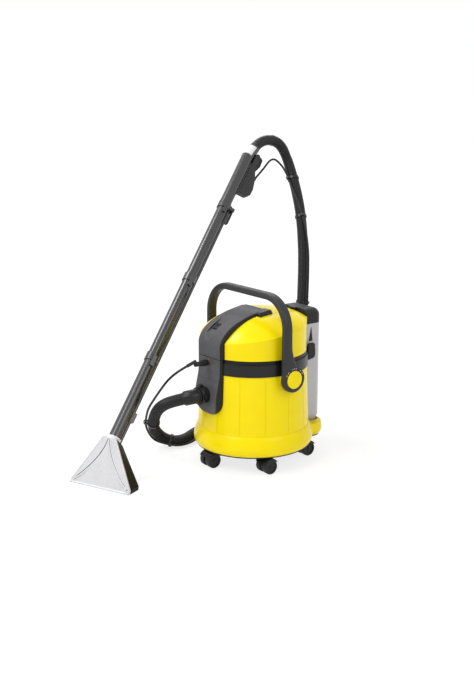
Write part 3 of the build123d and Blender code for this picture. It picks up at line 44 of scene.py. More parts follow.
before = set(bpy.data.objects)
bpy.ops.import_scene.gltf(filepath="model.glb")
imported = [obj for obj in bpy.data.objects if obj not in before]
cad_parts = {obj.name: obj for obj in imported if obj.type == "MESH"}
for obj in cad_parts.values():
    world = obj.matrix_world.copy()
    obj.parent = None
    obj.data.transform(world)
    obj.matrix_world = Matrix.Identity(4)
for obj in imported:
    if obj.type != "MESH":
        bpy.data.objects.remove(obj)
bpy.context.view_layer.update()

# Lengths are in metres. Places are measured from AXIS, the drum's own axis, as in the part's source.
DRUM_LOW, DRUM_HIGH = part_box("drum_shell")
DRUM_RADIUS = 0.166
AXIS = Vector(((DRUM_LOW.x + DRUM_HIGH.x) / 2, DRUM_LOW.y + DRUM_RADIUS, 0.0))
ACROSS, BACK = Vector((1.0, 0.0, 0.0)), Vector((0.0, 1.0, 0.0))

# The hoses hang free, so their points are the same ones as in the part's source.
HOSE_ROUTE = [
    (-0.014, -0.2355, 0.21975), (-0.056, -0.258, 0.204), (-0.104, -0.262, 0.178), (-0.150, -0.250, 0.146),
    (-0.190, -0.234, 0.111), (-0.220, -0.218, 0.076), (-0.234, -0.196, 0.045), (-0.222, -0.172, 0.024),
    (-0.200, -0.146, 0.018), (-0.200, -0.112, 0.018), (-0.222, -0.074, 0.018), (-0.244, -0.028, 0.018),
    (-0.264, 0.024, 0.018), (-0.278, 0.082, 0.018), (-0.287, 0.140, 0.018), (-0.288, 0.196, 0.0185),
    (-0.283, 0.252, 0.026), (-0.272, 0.300, 0.052), (-0.259, 0.335, 0.095), (-0.247, 0.358, 0.150),
    (-0.238, 0.372, 0.214), (-0.232, 0.379, 0.284), (-0.229, 0.383, 0.356), (-0.230, 0.386, 0.427),
    (-0.233, 0.390, 0.495), (-0.240, 0.395, 0.563), (-0.265, 0.411, 0.635), (-0.294, 0.423, 0.703),
    (-0.335, 0.439, 0.762), (-0.371, 0.448, 0.815), (-0.395, 0.449, 0.856), (-0.401, 0.434, 0.891),
    (-0.403, 0.407, 0.913), (-0.4075, 0.369, 0.919), (-0.4089, 0.3326, 0.9056), (-0.399, 0.310, 0.891),
]
HOSE_SEGMENTS = 36

# The spray hose leads from its plug to the suction hose, runs along it and leaves it for the gun.
LEAD_ROUTE = [
    (0.0, -0.238, 0.319), (-0.004, -0.262, 0.309), (-0.024, -0.274, 0.290), (-0.048, -0.277, 0.269),
    (-0.080, -0.277, 0.238), (-0.118, -0.275, 0.201), (-0.160, -0.272, 0.159),
]
TAIL_ROUTE = [
    (-0.386, 0.407, 0.844), (-0.385, 0.382, 0.857), (-0.374, 0.352, 0.848), (-0.361, 0.320, 0.825),
    (-0.34866, 0.27509, 0.79714),
]
SPRAY_CLEAR = 0.003
# Which way it lies from the suction hose, at some points of that hose's route.
SPRAY_SIDE = {
    4: (-0.6, -0.8, 0.1), 5: (-0.6, -0.8, 0.0), 6: (0.1, -1.0, -0.2), 7: (0.8, -0.6, -0.3),
    8: (0.8, -0.3, -0.3), 10: (0.9, 0.4, -0.2), 14: (1.0, 0.1, 0.0), 25: (0.95, 0.15, 0.15),
    27: (0.7, -0.6, -0.1), 29: (0.1, -1.0, -0.2),
}

# The suction hose's ribs, by shares of their pitch. A rib's shoulders are lower than its crown.
RIB_SHARES = (0.18, 0.34, 0.52, 0.70)
RIB_SHOULDER = 0.0002
RIBS_INSET = 0.002
# The hose's cuff: a ring after the last rib and one at its mouth, as (distance, height), and a plain
# sleeve between them.
GROOVE_AFTER_RIBS = 0.0008
CUFF_RING = ((0.0012, 0.0004), (0.0018, 0.0008), (0.0060, 0.0008), (0.0066, -0.0006))
MOUTH_RING = ((0.0135, -0.0012), (0.0125, -0.0012), (0.0120, 0.0), (0.0040, 0.0), (0.0032, -0.0012),
              (0.0, -0.0012))
SLEEVE_START, SLEEVE_END, SLEEVE_STEPS = 0.007, 0.014, 24
SLEEVE_OUT = -0.0006

# Carry handle: the hubs' outer faces, the bar's top and the pivots' height, half the bow's thickness, its
# bends, its front and back edges, and how its legs widen to the hubs.
HANDLE_OUT, HANDLE_TOP, PIVOT_Z = 0.190, 0.521, 0.281
LEG_HALF, BAR_HALF = 0.0085, 0.010
BOW_BEND, BEND_STEPS, LEG_STEPS, BAR_STEPS = 0.086, 12, 12, 5
BOW_FRONT, BOW_BACK, BOW_NARROWS = -0.038, -0.005, 0.003
FLARE, FLARE_TOP, FLARE_SPAN, FLARE_POWER = 0.024, 0.092, 0.070, 1.5
HUB_DEPTH = 0.017
HUB_PROFILE = ((0.0085, 0.0), (0.0360, 0.0), (0.0380, 0.0020), (0.0380, 0.0145), (0.0374, 0.0160),
               (0.0360, 0.0170), (0.0275, 0.0170), (0.0265, 0.0162), (0.0265, 0.0138), (0.0085, 0.0138))
HUB_TURNS = 72
# The marks round each hub, by their turn in degrees. Those up to SHORT_MARKS from the top are shorter.
MARK_TURNS = (-62, -44, -12, 0, 12, 44, 62)
MARK_RADIUS, MARK_WIDTH, MARK_HEIGHT = 0.032, 0.0007, 0.0003
SHORT_MARKS, SHORT_MARK = 12, 0.7

# The oval recess of the two rockers, and the section of its rim as (radius, height over the console).
RECESS_MIDDLE = AXIS + Vector((-0.010, -0.1275, 0.4195))
RECESS_OUT, RECESS_UP = Vector((0.0, -0.560848, 0.827919)), Vector((0.0, 0.827919, 0.560848))
RECESS_HALF_LENGTH, RECESS_RADIUS, RECESS_TURNS = 0.046, 0.015, 16
RIM_SECTION = ((0.0154, -0.0006), (0.0156, 0.0007), (0.0172, 0.0007), (0.0176, -0.0006))
RIM_SEAT, CAST_FROM = 0.0168, 0.05

# The lip at the console's upper end, out to its rounded end: (place across, share of its full section).
LIP_SECTIONS = ((0.0400, 1.0), (0.0610, 1.0), (0.0645, 0.96), (0.0672, 0.84), (0.0688, 0.62),
                (0.0693, 0.30))
LIP_Y, LIP_Z = -0.0060, 0.4480
LIP_BACK, LIP_UP = Vector((0.0, 0.985, 0.174)), Vector((0.0, -0.174, 0.985))
LIP_FLAT, LIP_ROUND = 0.0125, 0.0120

# The inlet elbow's collar: its rings as (place, radius), and the lugs on it.
INLET_Z = 0.225
COLLAR_RINGS = ((-0.1880, 0.0262), (-0.1935, 0.0270), (-0.1985, 0.0262), (-0.2050, 0.0242))
COLLAR_BORE, COLLAR_WIDTH, COLLAR_EDGE = 0.0205, 0.0028, 0.0006
LUG_COUNT, LUG_Y, LUG_RADIUS, LUG_SIZE = 6, -0.1945, 0.0262, (0.0022, 0.0045, 0.0062)

# The rim band is painted darker above this height, as the shade in the gap under the head.
BAND_SHADE_Z = 0.3225

# The slots in the tank's sides: their outline as (Y, Z), and their inner and outer faces.
SLOT_OUTLINE = ((0.1665, 0.3880), (0.1700, 0.3880), (0.1755, 0.3500), (0.1735, 0.3450), (0.1625, 0.3450),
                (0.1605, 0.3500))
SLOT_X = (0.0626, 0.0638)

CASTER_COUNT = 5

# Floor nozzle: the middle of its front edge, its turn, and the way the wand leaves it.
NOZZLE_AT = Vector((-0.046, -0.509, 0.0))
NOZZLE_TURN = math.radians(23.3)
NOZZLE_ACROSS = Vector((math.cos(NOZZLE_TURN), math.sin(NOZZLE_TURN), 0.0))
NOZZLE_AHEAD = Vector((-NOZZLE_ACROSS.y, NOZZLE_ACROSS.x, 0.0))
WAND_DIRECTION = Vector((-0.284532, 0.660675, 0.694658))
# The cover's face: its foot and its rise as (behind the front edge, height), the way out of it, and half
# its width at the foot with what the top lacks of that.
COVER_FOOT, COVER_RISE = (0.0055, 0.010), (0.0507, 0.1248)
COVER_OUT = Vector((0.0, 0.0, 0.376)) - NOZZLE_AHEAD * 0.926
COVER_HALF, COVER_NARROWS = 0.1005, 0.080
# The ribs on it: where they start and end by shares of the way up, how their foot goes out and into the
# face, how they taper, and the bowed pair's line from neck to corner, with painted shade beside it.
RIB_FIRST, RIB_LAST, RIB_STEPS = 0.01, 0.97, 28
RIB_FOOT, RIB_SUNK = 0.0003, 0.0006
RIB_THIN, RIB_SWELL, TAPER_START, TAPER_RUN = 0.35, 0.65, 0.12, 0.76
BOWED_NECK, BOWED_SPREAD, BOWED_POWER = 0.006, 0.091, 1.7
SHADE_LINE_INSIDE, SHADE_LINE_SPREAD = 0.0022, 0.0012
# The lip along its foot and the collar on the neck, by their sections.
COVER_LIP = ((-0.0004, 0.0008), (-0.0009, 0.0040), (0.0006, 0.0062), (0.0040, 0.0060), (0.0030, 0.0008))
COVER_LIP_STEPS = 8
NOZZLE_NECK = (0.0715, 0.119)
NECK_COLLAR = ((0.0179, -0.004), (0.0215, -0.004), (0.0224, -0.003), (0.0224, 0.0005), (0.0216, 0.0012),
               (0.0216, 0.0070), (0.0208, 0.0086), (0.0179, 0.0086))

# Stage: how strongly the surroundings and the floor shine, and how the floor's shine fades at the machine.
WORLD_STRENGTH = 0.45
FLOOR_HALF = 14.0
FLOOR_GLOW = 1.12
GLOW_FADE = {"From Min": 0.35, "From Max": 1.1, "To Min": 0.70, "To Max": 1.0}
LAMPS_AT = AXIS + Vector((-0.1, 0.0, 0.35))
# Each lamp's place from there, its power in watts and the width of its disc.
LAMPS = {
    "key_lamp": ((0.2, -2.9, 2.9), 75.0, 2.4),
    "side_lamp": ((3.3, 0.6, 1.9), 26.0, 2.2),
    "top_lamp": ((-1.15, -1.25, 3.0), 34.0, 1.0),
    "back_lamp": ((-2.4, 1.6, 2.6), 26.0, 2.0),
}
CAMERA_AT = AXIS + Vector((2.2686, -1.7706, 1.0669))
CAMERA_DOWN, CAMERA_TURN = 14.0, 53.0
SENSOR, FOCAL, FRAME_HEIGHT = 36.0, 1000.0, 687.0


def tint(red, green, blue):
    """A colour, given 0 to 255, as the linear numbers that a shader takes."""
    return tuple(c / 3294.6 if c <= 10 else ((c / 255 + 0.055) / 1.055) ** 2.4
                 for c in (red, green, blue))


def colour(name, description, red, green, blue):
    """A colour that the user can change."""
    return FloatVectorProperty(name=name, description=description, default=tint(red, green, blue),
                               subtype="COLOR", size=3, min=0.0, max=1.0)


def length(name, description, default):
    """A length that the user can change."""
    return FloatProperty(name=name, description=description, default=default, subtype="DISTANCE",
                         unit="LENGTH", min=0.0)


# ---------------------------------------------------------------- settings
class CleanerColours(bpy.types.PropertyGroup):
    """Colours of the mouldings, the hoses and the floor."""
    yellow: colour("Yellow", "Drum, skirt, head and hub discs", 255, 229, 0)
    console: colour("Console", "Grey strip up the front", 80, 80, 83)
    handle: colour("Handle", "Carry handle", 46, 46, 47)
    black: colour("Black", "Rim band, collars, grip and tank lid", 24, 24, 25)
    wand: colour("Wand", "Wand tubes and spray gun", 46, 46, 48)
    hose: colour("Hose", "Ribbed suction hose", 30, 30, 31)
    tank: colour("Tank", "Smoky clean-water tank", 186, 186, 190)
    milky: colour("Nozzle cover", "Milky clear cover of the floor nozzle", 210, 210, 213)
    tyre: colour("Wheels", "Caster wheels", 30, 30, 31)
    steel: colour("Steel", "Screws and axles", 190, 190, 192)
    brass: colour("Brass", "Spray socket and tip", 190, 158, 92)
    paper: colour("Filter", "Filter paper", 222, 218, 206)
    white: colour("White", "Vent ring, float and water tubes", 232, 233, 236)
    floor: colour("Floor", "Studio floor", 246, 246, 246)


class CleanerSizes(bpy.types.PropertyGroup):
    """Sizes of the details that are made here."""
    hose_radius: length("Hose radius", "Over the ribs of the suction hose", 0.0175)
    rib_depth: length("Rib depth", "Depth of the grooves between the hose's ribs", 0.0015)
    rib_pitch: length("Rib pitch", "From one rib of the hose to the next", 0.0041)
    cuff: length("Hose cuff", "Smooth cuff at the grip's end of the hose", 0.086)
    spray_radius: length("Spray hose radius", "Radius of the thin spray hose", 0.0035)
    tick: length("Tick length", "Length of the marks round the handle's hub", 0.0045)


# ---------------------------------------------------------------- materials
# Where most of a noise lies, which blends of colour and gloss run over.
NOISE_LOW, NOISE_HIGH = 0.3, 0.7
# Patches per metre of the plastics' clouding and of their gloss.
CLOUD_SCALE, GLOSS_SCALE = 22.0, 60.0
# How steeply a moulding's sides face along X where their own colour starts and where it is full.
SIDE_STARTS, SIDE_FULL = 0.35, 0.75
EDGE_SAMPLES = 6


def blank(name):
    """A new material with its nodes, links and main shader."""
    material = bpy.data.materials.new(name)
    material.use_nodes = True
    nodes, links = material.node_tree.nodes, material.node_tree.links
    return material, nodes, links, nodes["Principled BSDF"]


def preset(node, values):
    """Set a node's inputs by name."""
    for name, value in values.items():
        node.inputs[name].default_value = value


def noise(nodes, links, scale, detail=2.0, stretch=(1.0, 1.0, 1.0)):
    """Noise in the part's own coordinates, with scale in patches per metre."""
    place = nodes.new("ShaderNodeTexCoord")
    mapping = nodes.new("ShaderNodeMapping")
    field = nodes.new("ShaderNodeTexNoise")
    preset(mapping, {"Scale": stretch})
    preset(field, {"Scale": scale, "Detail": detail})
    links.new(place.outputs["Object"], mapping.inputs["Vector"])
    links.new(mapping.outputs["Vector"], field.inputs["Vector"])
    return field.outputs["Fac"]


def ramp(nodes, links, factor, low, high):
    """A blend from one colour to another by a noise."""
    band = nodes.new("ShaderNodeValToRGB")
    for element, place, shade in zip(band.color_ramp.elements, (NOISE_LOW, NOISE_HIGH), (low, high)):
        element.position = place
        element.color = (*shade, 1.0)
    links.new(factor, band.inputs["Fac"])
    return band.outputs["Color"]


def spread(nodes, links, factor, low, high):
    """A number that varies between two limits by a noise."""
    span = nodes.new("ShaderNodeMapRange")
    preset(span, {"From Min": NOISE_LOW, "From Max": NOISE_HIGH, "To Min": low, "To Max": high})
    links.new(factor, span.inputs["Value"])
    return span.outputs["Result"]


def relief(nodes, links, shader, height, strength, depth, edge=0.0):
    """Surface relief from a height, over edges softened by a radius."""
    bump = nodes.new("ShaderNodeBump")
    preset(bump, {"Strength": strength, "Distance": depth})
    links.new(height, bump.inputs["Height"])
    if edge:
        soft = nodes.new("ShaderNodeBevel")
        soft.samples = EDGE_SAMPLES
        soft.inputs["Radius"].default_value = edge
        links.new(soft.outputs["Normal"], bump.inputs["Normal"])
    links.new(bump.outputs["Normal"], shader.inputs["Normal"])


def scaled(shade, factor):
    """A colour made darker or lighter."""
    return tuple(min(1.0, c * factor) for c in shade)


def sideways(nodes, links):
    """How far the surface faces along X, from 0 to 1."""
    place, part = nodes.new("ShaderNodeTexCoord"), nodes.new("ShaderNodeSeparateXYZ")
    size, span = nodes.new("ShaderNodeMath"), nodes.new("ShaderNodeMapRange")
    size.operation = "ABSOLUTE"
    span.interpolation_type = "SMOOTHSTEP"
    preset(span, {"From Min": SIDE_STARTS, "From Max": SIDE_FULL})
    links.new(place.outputs["Normal"], part.inputs["Vector"])
    links.new(part.outputs["X"], size.inputs[0])
    links.new(size.outputs["Value"], span.inputs["Value"])
    return span.outputs["Result"]


def higher(nodes, links, height):
    """1 above a height in the part's own coordinates, 0 below it."""
    place, part = nodes.new("ShaderNodeTexCoord"), nodes.new("ShaderNodeSeparateXYZ")
    over = nodes.new("ShaderNodeMath")
    over.operation = "GREATER_THAN"
    over.inputs[1].default_value = height
    links.new(place.outputs["Object"], part.inputs["Vector"])
    links.new(part.outputs["Z"], over.inputs[0])
    return over.outputs["Value"]


def blended(nodes, links, factor, first, second):
    """A colour that goes from one source to another by a factor."""
    both = nodes.new("ShaderNodeMix")
    both.data_type = "RGBA"
    links.new(factor, both.inputs["Factor"])
    for socket, source in ((both.inputs[6], first), (both.inputs[7], second)):
        if isinstance(source, tuple):
            socket.default_value = (*source, 1.0)
        else:
            links.new(source, socket)
    return both.outputs[2]


def moulded(name, shade, roughness, grain=0.0005, strength=0.12, mottle=0.04, coat=0.0, edge=0.0008,
            shine=0.3, sides=None, above=None):
    """Moulded plastic with a fine grain, slight clouding of colour and gloss, and softened edges.
    Its sides along X can have another colour, and so can what lies above a height."""
    material, nodes, links, shader = blank(name)
    cloud = noise(nodes, links, CLOUD_SCALE, detail=3.0)
    mixed = ramp(nodes, links, cloud, scaled(shade, 1 - mottle), scaled(shade, 1 + mottle))
    if sides:
        mixed = blended(nodes, links, sideways(nodes, links), mixed, sides)
    if above:
        height, upper = above
        mixed = blended(nodes, links, higher(nodes, links, height), mixed, upper)
    links.new(mixed, shader.inputs["Base Color"])
    patches = noise(nodes, links, GLOSS_SCALE, detail=4.0)
    gloss = spread(nodes, links, patches, roughness - 0.03, roughness + 0.04)
    links.new(gloss, shader.inputs["Roughness"])
    preset(shader, {"Specular IOR Level": shine, "Coat Weight": coat, "Coat Roughness": 0.06})
    relief(nodes, links, shader, noise(nodes, links, 0.5 / grain), strength, grain * 0.2, edge)
    return material


def clear_plastic(name, shade, roughness, streaks):
    """Smoky or milky plastic, opaque here, with faint upright streaks, lighter and darker, that paint in
    upright highlights, under a glossy skin.
    """
    material, nodes, links, shader = blank(name)
    # Upright streaks of lighter and darker colour: painted highlights along the upright.
    painted_streaks = noise(nodes, links, scale=34.0, stretch=(1.0, 1.0, 0.04))
    patches = noise(nodes, links, scale=90.0, detail=3.0)
    mixed = ramp(nodes, links, painted_streaks, scaled(shade, 1 - streaks), scaled(shade, 1 + streaks))
    links.new(mixed, shader.inputs["Base Color"])
    links.new(spread(nodes, links, patches, roughness, roughness + 0.08), shader.inputs["Roughness"])
    preset(shader, {"IOR": 1.46, "Coat Weight": 0.25, "Coat Roughness": 0.12})
    skin = noise(nodes, links, scale=420.0)
    relief(nodes, links, shader, skin, strength=0.04, depth=0.0001, edge=0.001)
    return material


def metal(name, shade, roughness):
    """Turned or brushed metal, with lines along one direction."""
    material, nodes, links, shader = blank(name)
    lines = noise(nodes, links, scale=240.0, detail=3.0, stretch=(1.0, 1.0, 12.0))
    mixed = ramp(nodes, links, lines, scaled(shade, 0.88), scaled(shade, 1.05))
    links.new(mixed, shader.inputs["Base Color"])
    links.new(spread(nodes, links, lines, roughness, roughness + 0.12), shader.inputs["Roughness"])
    preset(shader, {"Metallic": 1.0})
    relief(nodes, links, shader, lines, strength=0.1, depth=0.00005, edge=0.0004)
    return material


def fibrous(name, shade):
    """Filter paper: a dull, fibrous surface."""
    material, nodes, links, shader = blank(name)
    fibre = noise(nodes, links, scale=900.0, detail=4.0)
    mixed = ramp(nodes, links, fibre, scaled(shade, 0.88), scaled(shade, 1.04))
    links.new(mixed, shader.inputs["Base Color"])
    preset(shader, {"Roughness": 0.9})
    relief(nodes, links, shader, fibre, strength=0.5, depth=0.0003)
    return material


def coat_nodes(material, *names):
    """Give these CAD nodes a finish."""
    for name in names:
        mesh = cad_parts[name].data
        mesh.materials.clear()
        mesh.materials.append(material)


# ---------------------------------------------------------------- meshes
NEARLY_UPRIGHT = 0.1


def mesh_piece(name, verts, faces, material, body, slot, smooth=True):
    """Add a piece with a finish, which rides on one body."""
    mesh = bpy.data.meshes.new(name)
    mesh.from_pydata([tuple(v) for v in verts], [], faces)
    mesh.validate()
    shape = bmesh.new()
    shape.from_mesh(mesh)
    bmesh.ops.recalc_face_normals(shape, faces=shape.faces)
    shape.to_mesh(mesh)
    shape.free()
    for face in mesh.polygons:
        face.use_smooth = smooth
    mesh.materials.append(material)
    piece = bpy.data.objects.new(name, mesh)
    bpy.context.scene.collection.objects.link(piece)
    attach(piece, body)
    return piece


def crossways(direction):
    """Two directions square to a given one and to each other."""
    direction = Vector(direction).normalized()
    side = direction.cross(Vector((0, 0, 1)))
    if side.length < NEARLY_UPRIGHT:
        side = direction.cross(Vector((1, 0, 0)))
    side.normalize()
    return side, direction.cross(side).normalized()


def ring_faces(stations, sides):
    """Faces over closed sections that stand in a ring."""
    faces = []
    for k in range(stations):
        here, following = k * sides, (k + 1) % stations * sides
        for i in range(sides):
            j = (i + 1) % sides
            faces.append((here + i, here + j, following + j, following + i))
    return faces


def tube_faces(stations, sides):
    """Faces over closed sections that stand in a row."""
    faces = []
    for i in range(stations - 1):
        for j in range(sides):
            a, b = i * sides + j, i * sides + (j + 1) % sides
            faces.append((a, b, b + sides, a + sides))
    return faces


def turned(origin, direction, profile, turns=64):
    """Vertices and faces of a turned ring. Its profile is (radius, height) round its closed section."""
    side, other = crossways(direction)
    axis, verts = Vector(direction).normalized(), []
    for k in range(turns):
        angle = 2 * math.pi * k / turns
        out = side * math.cos(angle) + other * math.sin(angle)
        verts += [origin + out * radius + axis * height for radius, height in profile]
    return verts, ring_faces(turns, len(profile))


def curve_piece(name, points, radius=0.0):
    """A NURBS curve with the points as its control points, as a bare line or a round hose."""
    data = bpy.data.curves.new(name, "CURVE")
    data.dimensions = "3D"
    line = data.splines.new("NURBS")
    line.points.add(len(points) - 1)
    for control, point in zip(line.points, points):
        control.co = (*point, 1.0)
    line.order_u = 3
    line.use_endpoint_u = True
    line.resolution_u = 24
    if radius:
        data.bevel_depth = radius
        data.bevel_resolution = 4
        data.use_fill_caps = True
    piece = bpy.data.objects.new(name, data)
    bpy.context.scene.collection.objects.link(piece)
    return piece


def line_points(points):
    """The points along a route's own NURBS line."""
    guide = curve_piece("guide", points)
    bpy.context.view_layer.update()
    mesh = bpy.data.meshes.new_from_object(guide)
    line = [v.co.copy() for v in mesh.vertices]
    bpy.data.meshes.remove(mesh)
    bpy.data.objects.remove(guide)
    return line


def along(line):
    """Distance of each point along a line."""
    reach = [0.0]
    for a, b in zip(line, line[1:]):
        reach.append(reach[-1] + (b - a).length)
    return reach


def swept(line, stations, segments):
    """A tube wall along a line: stations are (distance, radius) in order. It is open at both ends."""
    reach, verts, k = along(line), [], 0
    side, _ = crossways(line[1] - line[0])
    for distance, radius in stations:
        while k < len(line) - 2 and reach[k + 1] < distance:
            k += 1
        span = max(reach[k + 1] - reach[k], 1e-9)
        share = (distance - reach[k]) / span
        centre = line[k].lerp(line[k + 1], share)
        here = (line[k + 1] - line[k]).normalized()
        if k + 2 < len(line):
            here = here.lerp((line[k + 2] - line[k + 1]).normalized(), max(0.0, share - 0.5))
        if k > 0:
            here = here.lerp((line[k] - line[k - 1]).normalized(), max(0.0, 0.5 - share))
        here.normalize()
        side = (side - here * side.dot(here)).normalized()
        other = here.cross(side)
        for j in range(segments):
            angle = 2 * math.pi * j / segments
            verts.append(centre + (side * math.cos(angle) + other * math.sin(angle)) * radius)
    return verts, tube_faces(len(stations), segments)


def rounded_loop(centre, across, over, half_across, half_over, count=24):
    """A rounded oblong loop of points about a centre, in the plane of two directions."""
    loop = []
    for k in range(count):
        angle = 2 * math.pi * k / count
        c, s = math.cos(angle), math.sin(angle)
        loop.append(centre + across * half_across * math.copysign(abs(c) ** 0.5, c)
                    + over * half_over * math.copysign(abs(s) ** 0.5, s))
    return loop


def joined_loops(loops):
    """A skin over loops of equal size, closed at both ends."""
    count = len(loops[0])
    verts = [point for loop in loops for point in loop]
    ends = [tuple(range(count)), tuple(range(len(verts) - count, len(verts)))]
    return verts, ends + tube_faces(len(loops), count)


def together(*pieces):
    """Several sets of vertices and faces as one."""
    verts, faces = [], []
    for more, around in pieces:
        faces += [tuple(i + len(verts) for i in face) for face in around]
        verts += more
    return verts, faces


def block(centre, across, ahead, up, size):
    """A small block: its half sizes are along three directions."""
    a, b, c = size
    verts = [centre + across * x * a + ahead * y * b + up * z * c
             for x in (-1, 1) for y in (-1, 1) for z in (-1, 1)]
    return verts, [(0, 1, 3, 2), (4, 6, 7, 5), (0, 4, 5, 1), (2, 3, 7, 6), (0, 2, 6, 4), (1, 5, 7, 3)]


def surface_point(name, start, direction):
    """Where a line from outside first meets a CAD node."""
    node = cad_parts[name]
    inverse = node.matrix_world.inverted()
    hit, place, _, _ = node.ray_cast(inverse @ start, (inverse.to_3x3() @ direction).normalized())
    if not hit:
        raise RuntimeError(f"nothing of {name} lies there")
    return node.matrix_world @ place


# ---------------------------------------------------------------- stage
def lamp(name, place, target, power, size):
    """Add a round soft lamp that faces a target."""
    light = bpy.data.lights.new(name, "AREA")
    light.energy = power
    light.shape = "DISK"
    light.size = size
    holder = bpy.data.objects.new(name, light)
    holder.location = place
    holder.rotation_euler = (Vector(target) - Vector(place)).to_track_quat("-Z", "Y").to_euler()
    bpy.context.scene.collection.objects.link(holder)


def seen_white(nodes, links):
    """1 for rays that see the stage directly, in a gloss or through glass, 0 for the light it gives."""
    path = nodes.new("ShaderNodeLightPath")
    glossy = nodes.new("ShaderNodeMath")
    glossy.operation = "MAXIMUM"
    links.new(path.outputs["Is Camera Ray"], glossy.inputs[0])
    links.new(path.outputs["Is Glossy Ray"], glossy.inputs[1])
    through = nodes.new("ShaderNodeMath")
    through.operation = "MAXIMUM"
    links.new(glossy.outputs["Value"], through.inputs[0])
    links.new(path.outputs["Is Transmission Ray"], through.inputs[1])
    return through.outputs["Value"]


def surround(scene):
    """Surroundings that light evenly and are seen as white."""
    world = bpy.data.worlds.new("surroundings")
    scene.world = world
    world.use_nodes = True
    nodes, links = world.node_tree.nodes, world.node_tree.links
    nodes.clear()
    light, white, both, out = (nodes.new(kind) for kind in (
        "ShaderNodeBackground", "ShaderNodeBackground", "ShaderNodeMixShader", "ShaderNodeOutputWorld"))
    preset(light, {"Color": (1.0, 1.0, 1.0, 1.0), "Strength": WORLD_STRENGTH})
    preset(white, {"Color": (1.0, 1.0, 1.0, 1.0), "Strength": 1.0})
    links.new(seen_white(nodes, links), both.inputs["Fac"])
    links.new(light.outputs[0], both.inputs[1])
    links.new(white.outputs[0], both.inputs[2])
    links.new(both.outputs[0], out.inputs["Surface"])


def floor_finish(shade):
    """A matt floor that keeps the machine's shadow near it and is seen as white further out."""
    material, nodes, links, shader = blank("studio_floor")
    preset(shader, {"Base Color": (*shade, 1.0), "Roughness": 0.9, "Specular IOR Level": 0.1})
    glow, mixed, weight, place, reach, fade = (nodes.new(kind) for kind in (
        "ShaderNodeEmission", "ShaderNodeMixShader", "ShaderNodeMath", "ShaderNodeTexCoord",
        "ShaderNodeVectorMath", "ShaderNodeMapRange"))
    weight.operation = "MULTIPLY"
    reach.operation = "DISTANCE"
    reach.inputs[1].default_value = AXIS
    preset(glow, {"Strength": FLOOR_GLOW})
    preset(fade, GLOW_FADE)
    links.new(seen_white(nodes, links), weight.inputs[0])
    links.new(place.outputs["Object"], reach.inputs[0])
    links.new(reach.outputs["Value"], fade.inputs["Value"])
    links.new(fade.outputs["Result"], weight.inputs[1])
    links.new(weight.outputs["Value"], mixed.inputs["Fac"])
    links.new(shader.outputs["BSDF"], mixed.inputs[1])
    links.new(glow.outputs["Emission"], mixed.inputs[2])
    links.new(mixed.outputs["Shader"], nodes["Material Output"].inputs["Surface"])
    return material


class CLEANER_OT_stage(bpy.types.Operator):
    """Set up the floor, the white surroundings, the lamps and the camera"""
    bl_idname = "cleaner.stage"
    bl_label = "Stage"

    def execute(self, context):
        scene = context.scene
        scene.view_settings.view_transform = "Standard"
        surround(scene)

        mesh = bpy.data.meshes.new("floor")
        corners = [(x * FLOOR_HALF, y * FLOOR_HALF, 0) for x, y in ((-1, -1), (1, -1), (1, 1), (-1, 1))]
        mesh.from_pydata(corners, [], [(0, 1, 2, 3)])
        mesh.materials.append(floor_finish(scene.cleaner_colours.floor))
        floor = bpy.data.objects.new("floor", mesh)
        scene.collection.objects.link(floor)

        for name, (offset, power, size) in LAMPS.items():
            lamp(name, LAMPS_AT + Vector(offset), LAMPS_AT, power, size)

        data = bpy.data.cameras.new("camera")
        data.sensor_width = SENSOR
        data.lens = FOCAL * SENSOR / FRAME_HEIGHT
        camera = bpy.data.objects.new("camera", data)
        camera.location = CAMERA_AT
        camera.rotation_euler = (math.radians(90.0 - CAMERA_DOWN), 0.0, math.radians(CAMERA_TURN))
        scene.collection.objects.link(camera)
        scene.camera = camera
        return {"FINISHED"}


# ---------------------------------------------------------------- hoses
def hose_stations(total, sizes):
    """Distance and radius along the suction hose: ribs, then a smooth cuff with a ring at either end."""
    radius, valley, pitch = sizes.hose_radius, sizes.hose_radius - sizes.rib_depth, sizes.rib_pitch
    shoulder = radius - RIB_SHOULDER
    rib = [(0.0, valley), *zip(RIB_SHARES, (shoulder, radius, shoulder, valley))]
    stations = [(0.0, valley)]
    for k in range(int((total - sizes.cuff - 2 * RIBS_INSET) / pitch)):
        start = RIBS_INSET + k * pitch
        stations += [(start + share * pitch, across) for share, across in rib]
    end = stations[-1][0]
    stations.append((end + GROOVE_AFTER_RIBS, valley))
    stations += [(end + place, radius + out) for place, out in CUFF_RING]
    for k in range(1, SLEEVE_STEPS):
        place = end + SLEEVE_START + (total - SLEEVE_END - end - SLEEVE_START) * k / SLEEVE_STEPS
        stations.append((place, radius + SLEEVE_OUT))
    stations += [(total - place, radius + out) for place, out in MOUTH_RING]
    return stations


class CLEANER_OT_suction_hose(bpy.types.Operator):
    """Lay the ribbed suction hose from the elbow to the grip"""
    bl_idname = "cleaner.suction_hose"
    bl_label = "Suction hose"

    def execute(self, context):
        sizes, shades = context.scene.cleaner_sizes, context.scene.cleaner_colours
        line = line_points([AXIS + Vector(p) for p in HOSE_ROUTE])
        verts, faces = swept(line, hose_stations(along(line)[-1], sizes), HOSE_SEGMENTS)
        plastic = moulded("hose_plastic", shades.hose, roughness=0.42, grain=0.0004, strength=0.08,
                          mottle=0.10, edge=0.0)
        hose = mesh_piece("suction_hose_ribbed", verts, faces, plastic, "machine", "hose")
        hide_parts("suction_hose")
        return {"FINISHED"}


def spray_side(index):
    """Which side of the suction hose the spray hose lies on."""
    keys = sorted(SPRAY_SIDE)
    index = min(max(index, keys[0]), keys[-1])
    before = max(key for key in keys if key <= index)
    after = min(key for key in keys if key >= index)
    share = (index - before) / max(after - before, 1)
    return Vector(SPRAY_SIDE[before]).lerp(Vector(SPRAY_SIDE[after]), share)


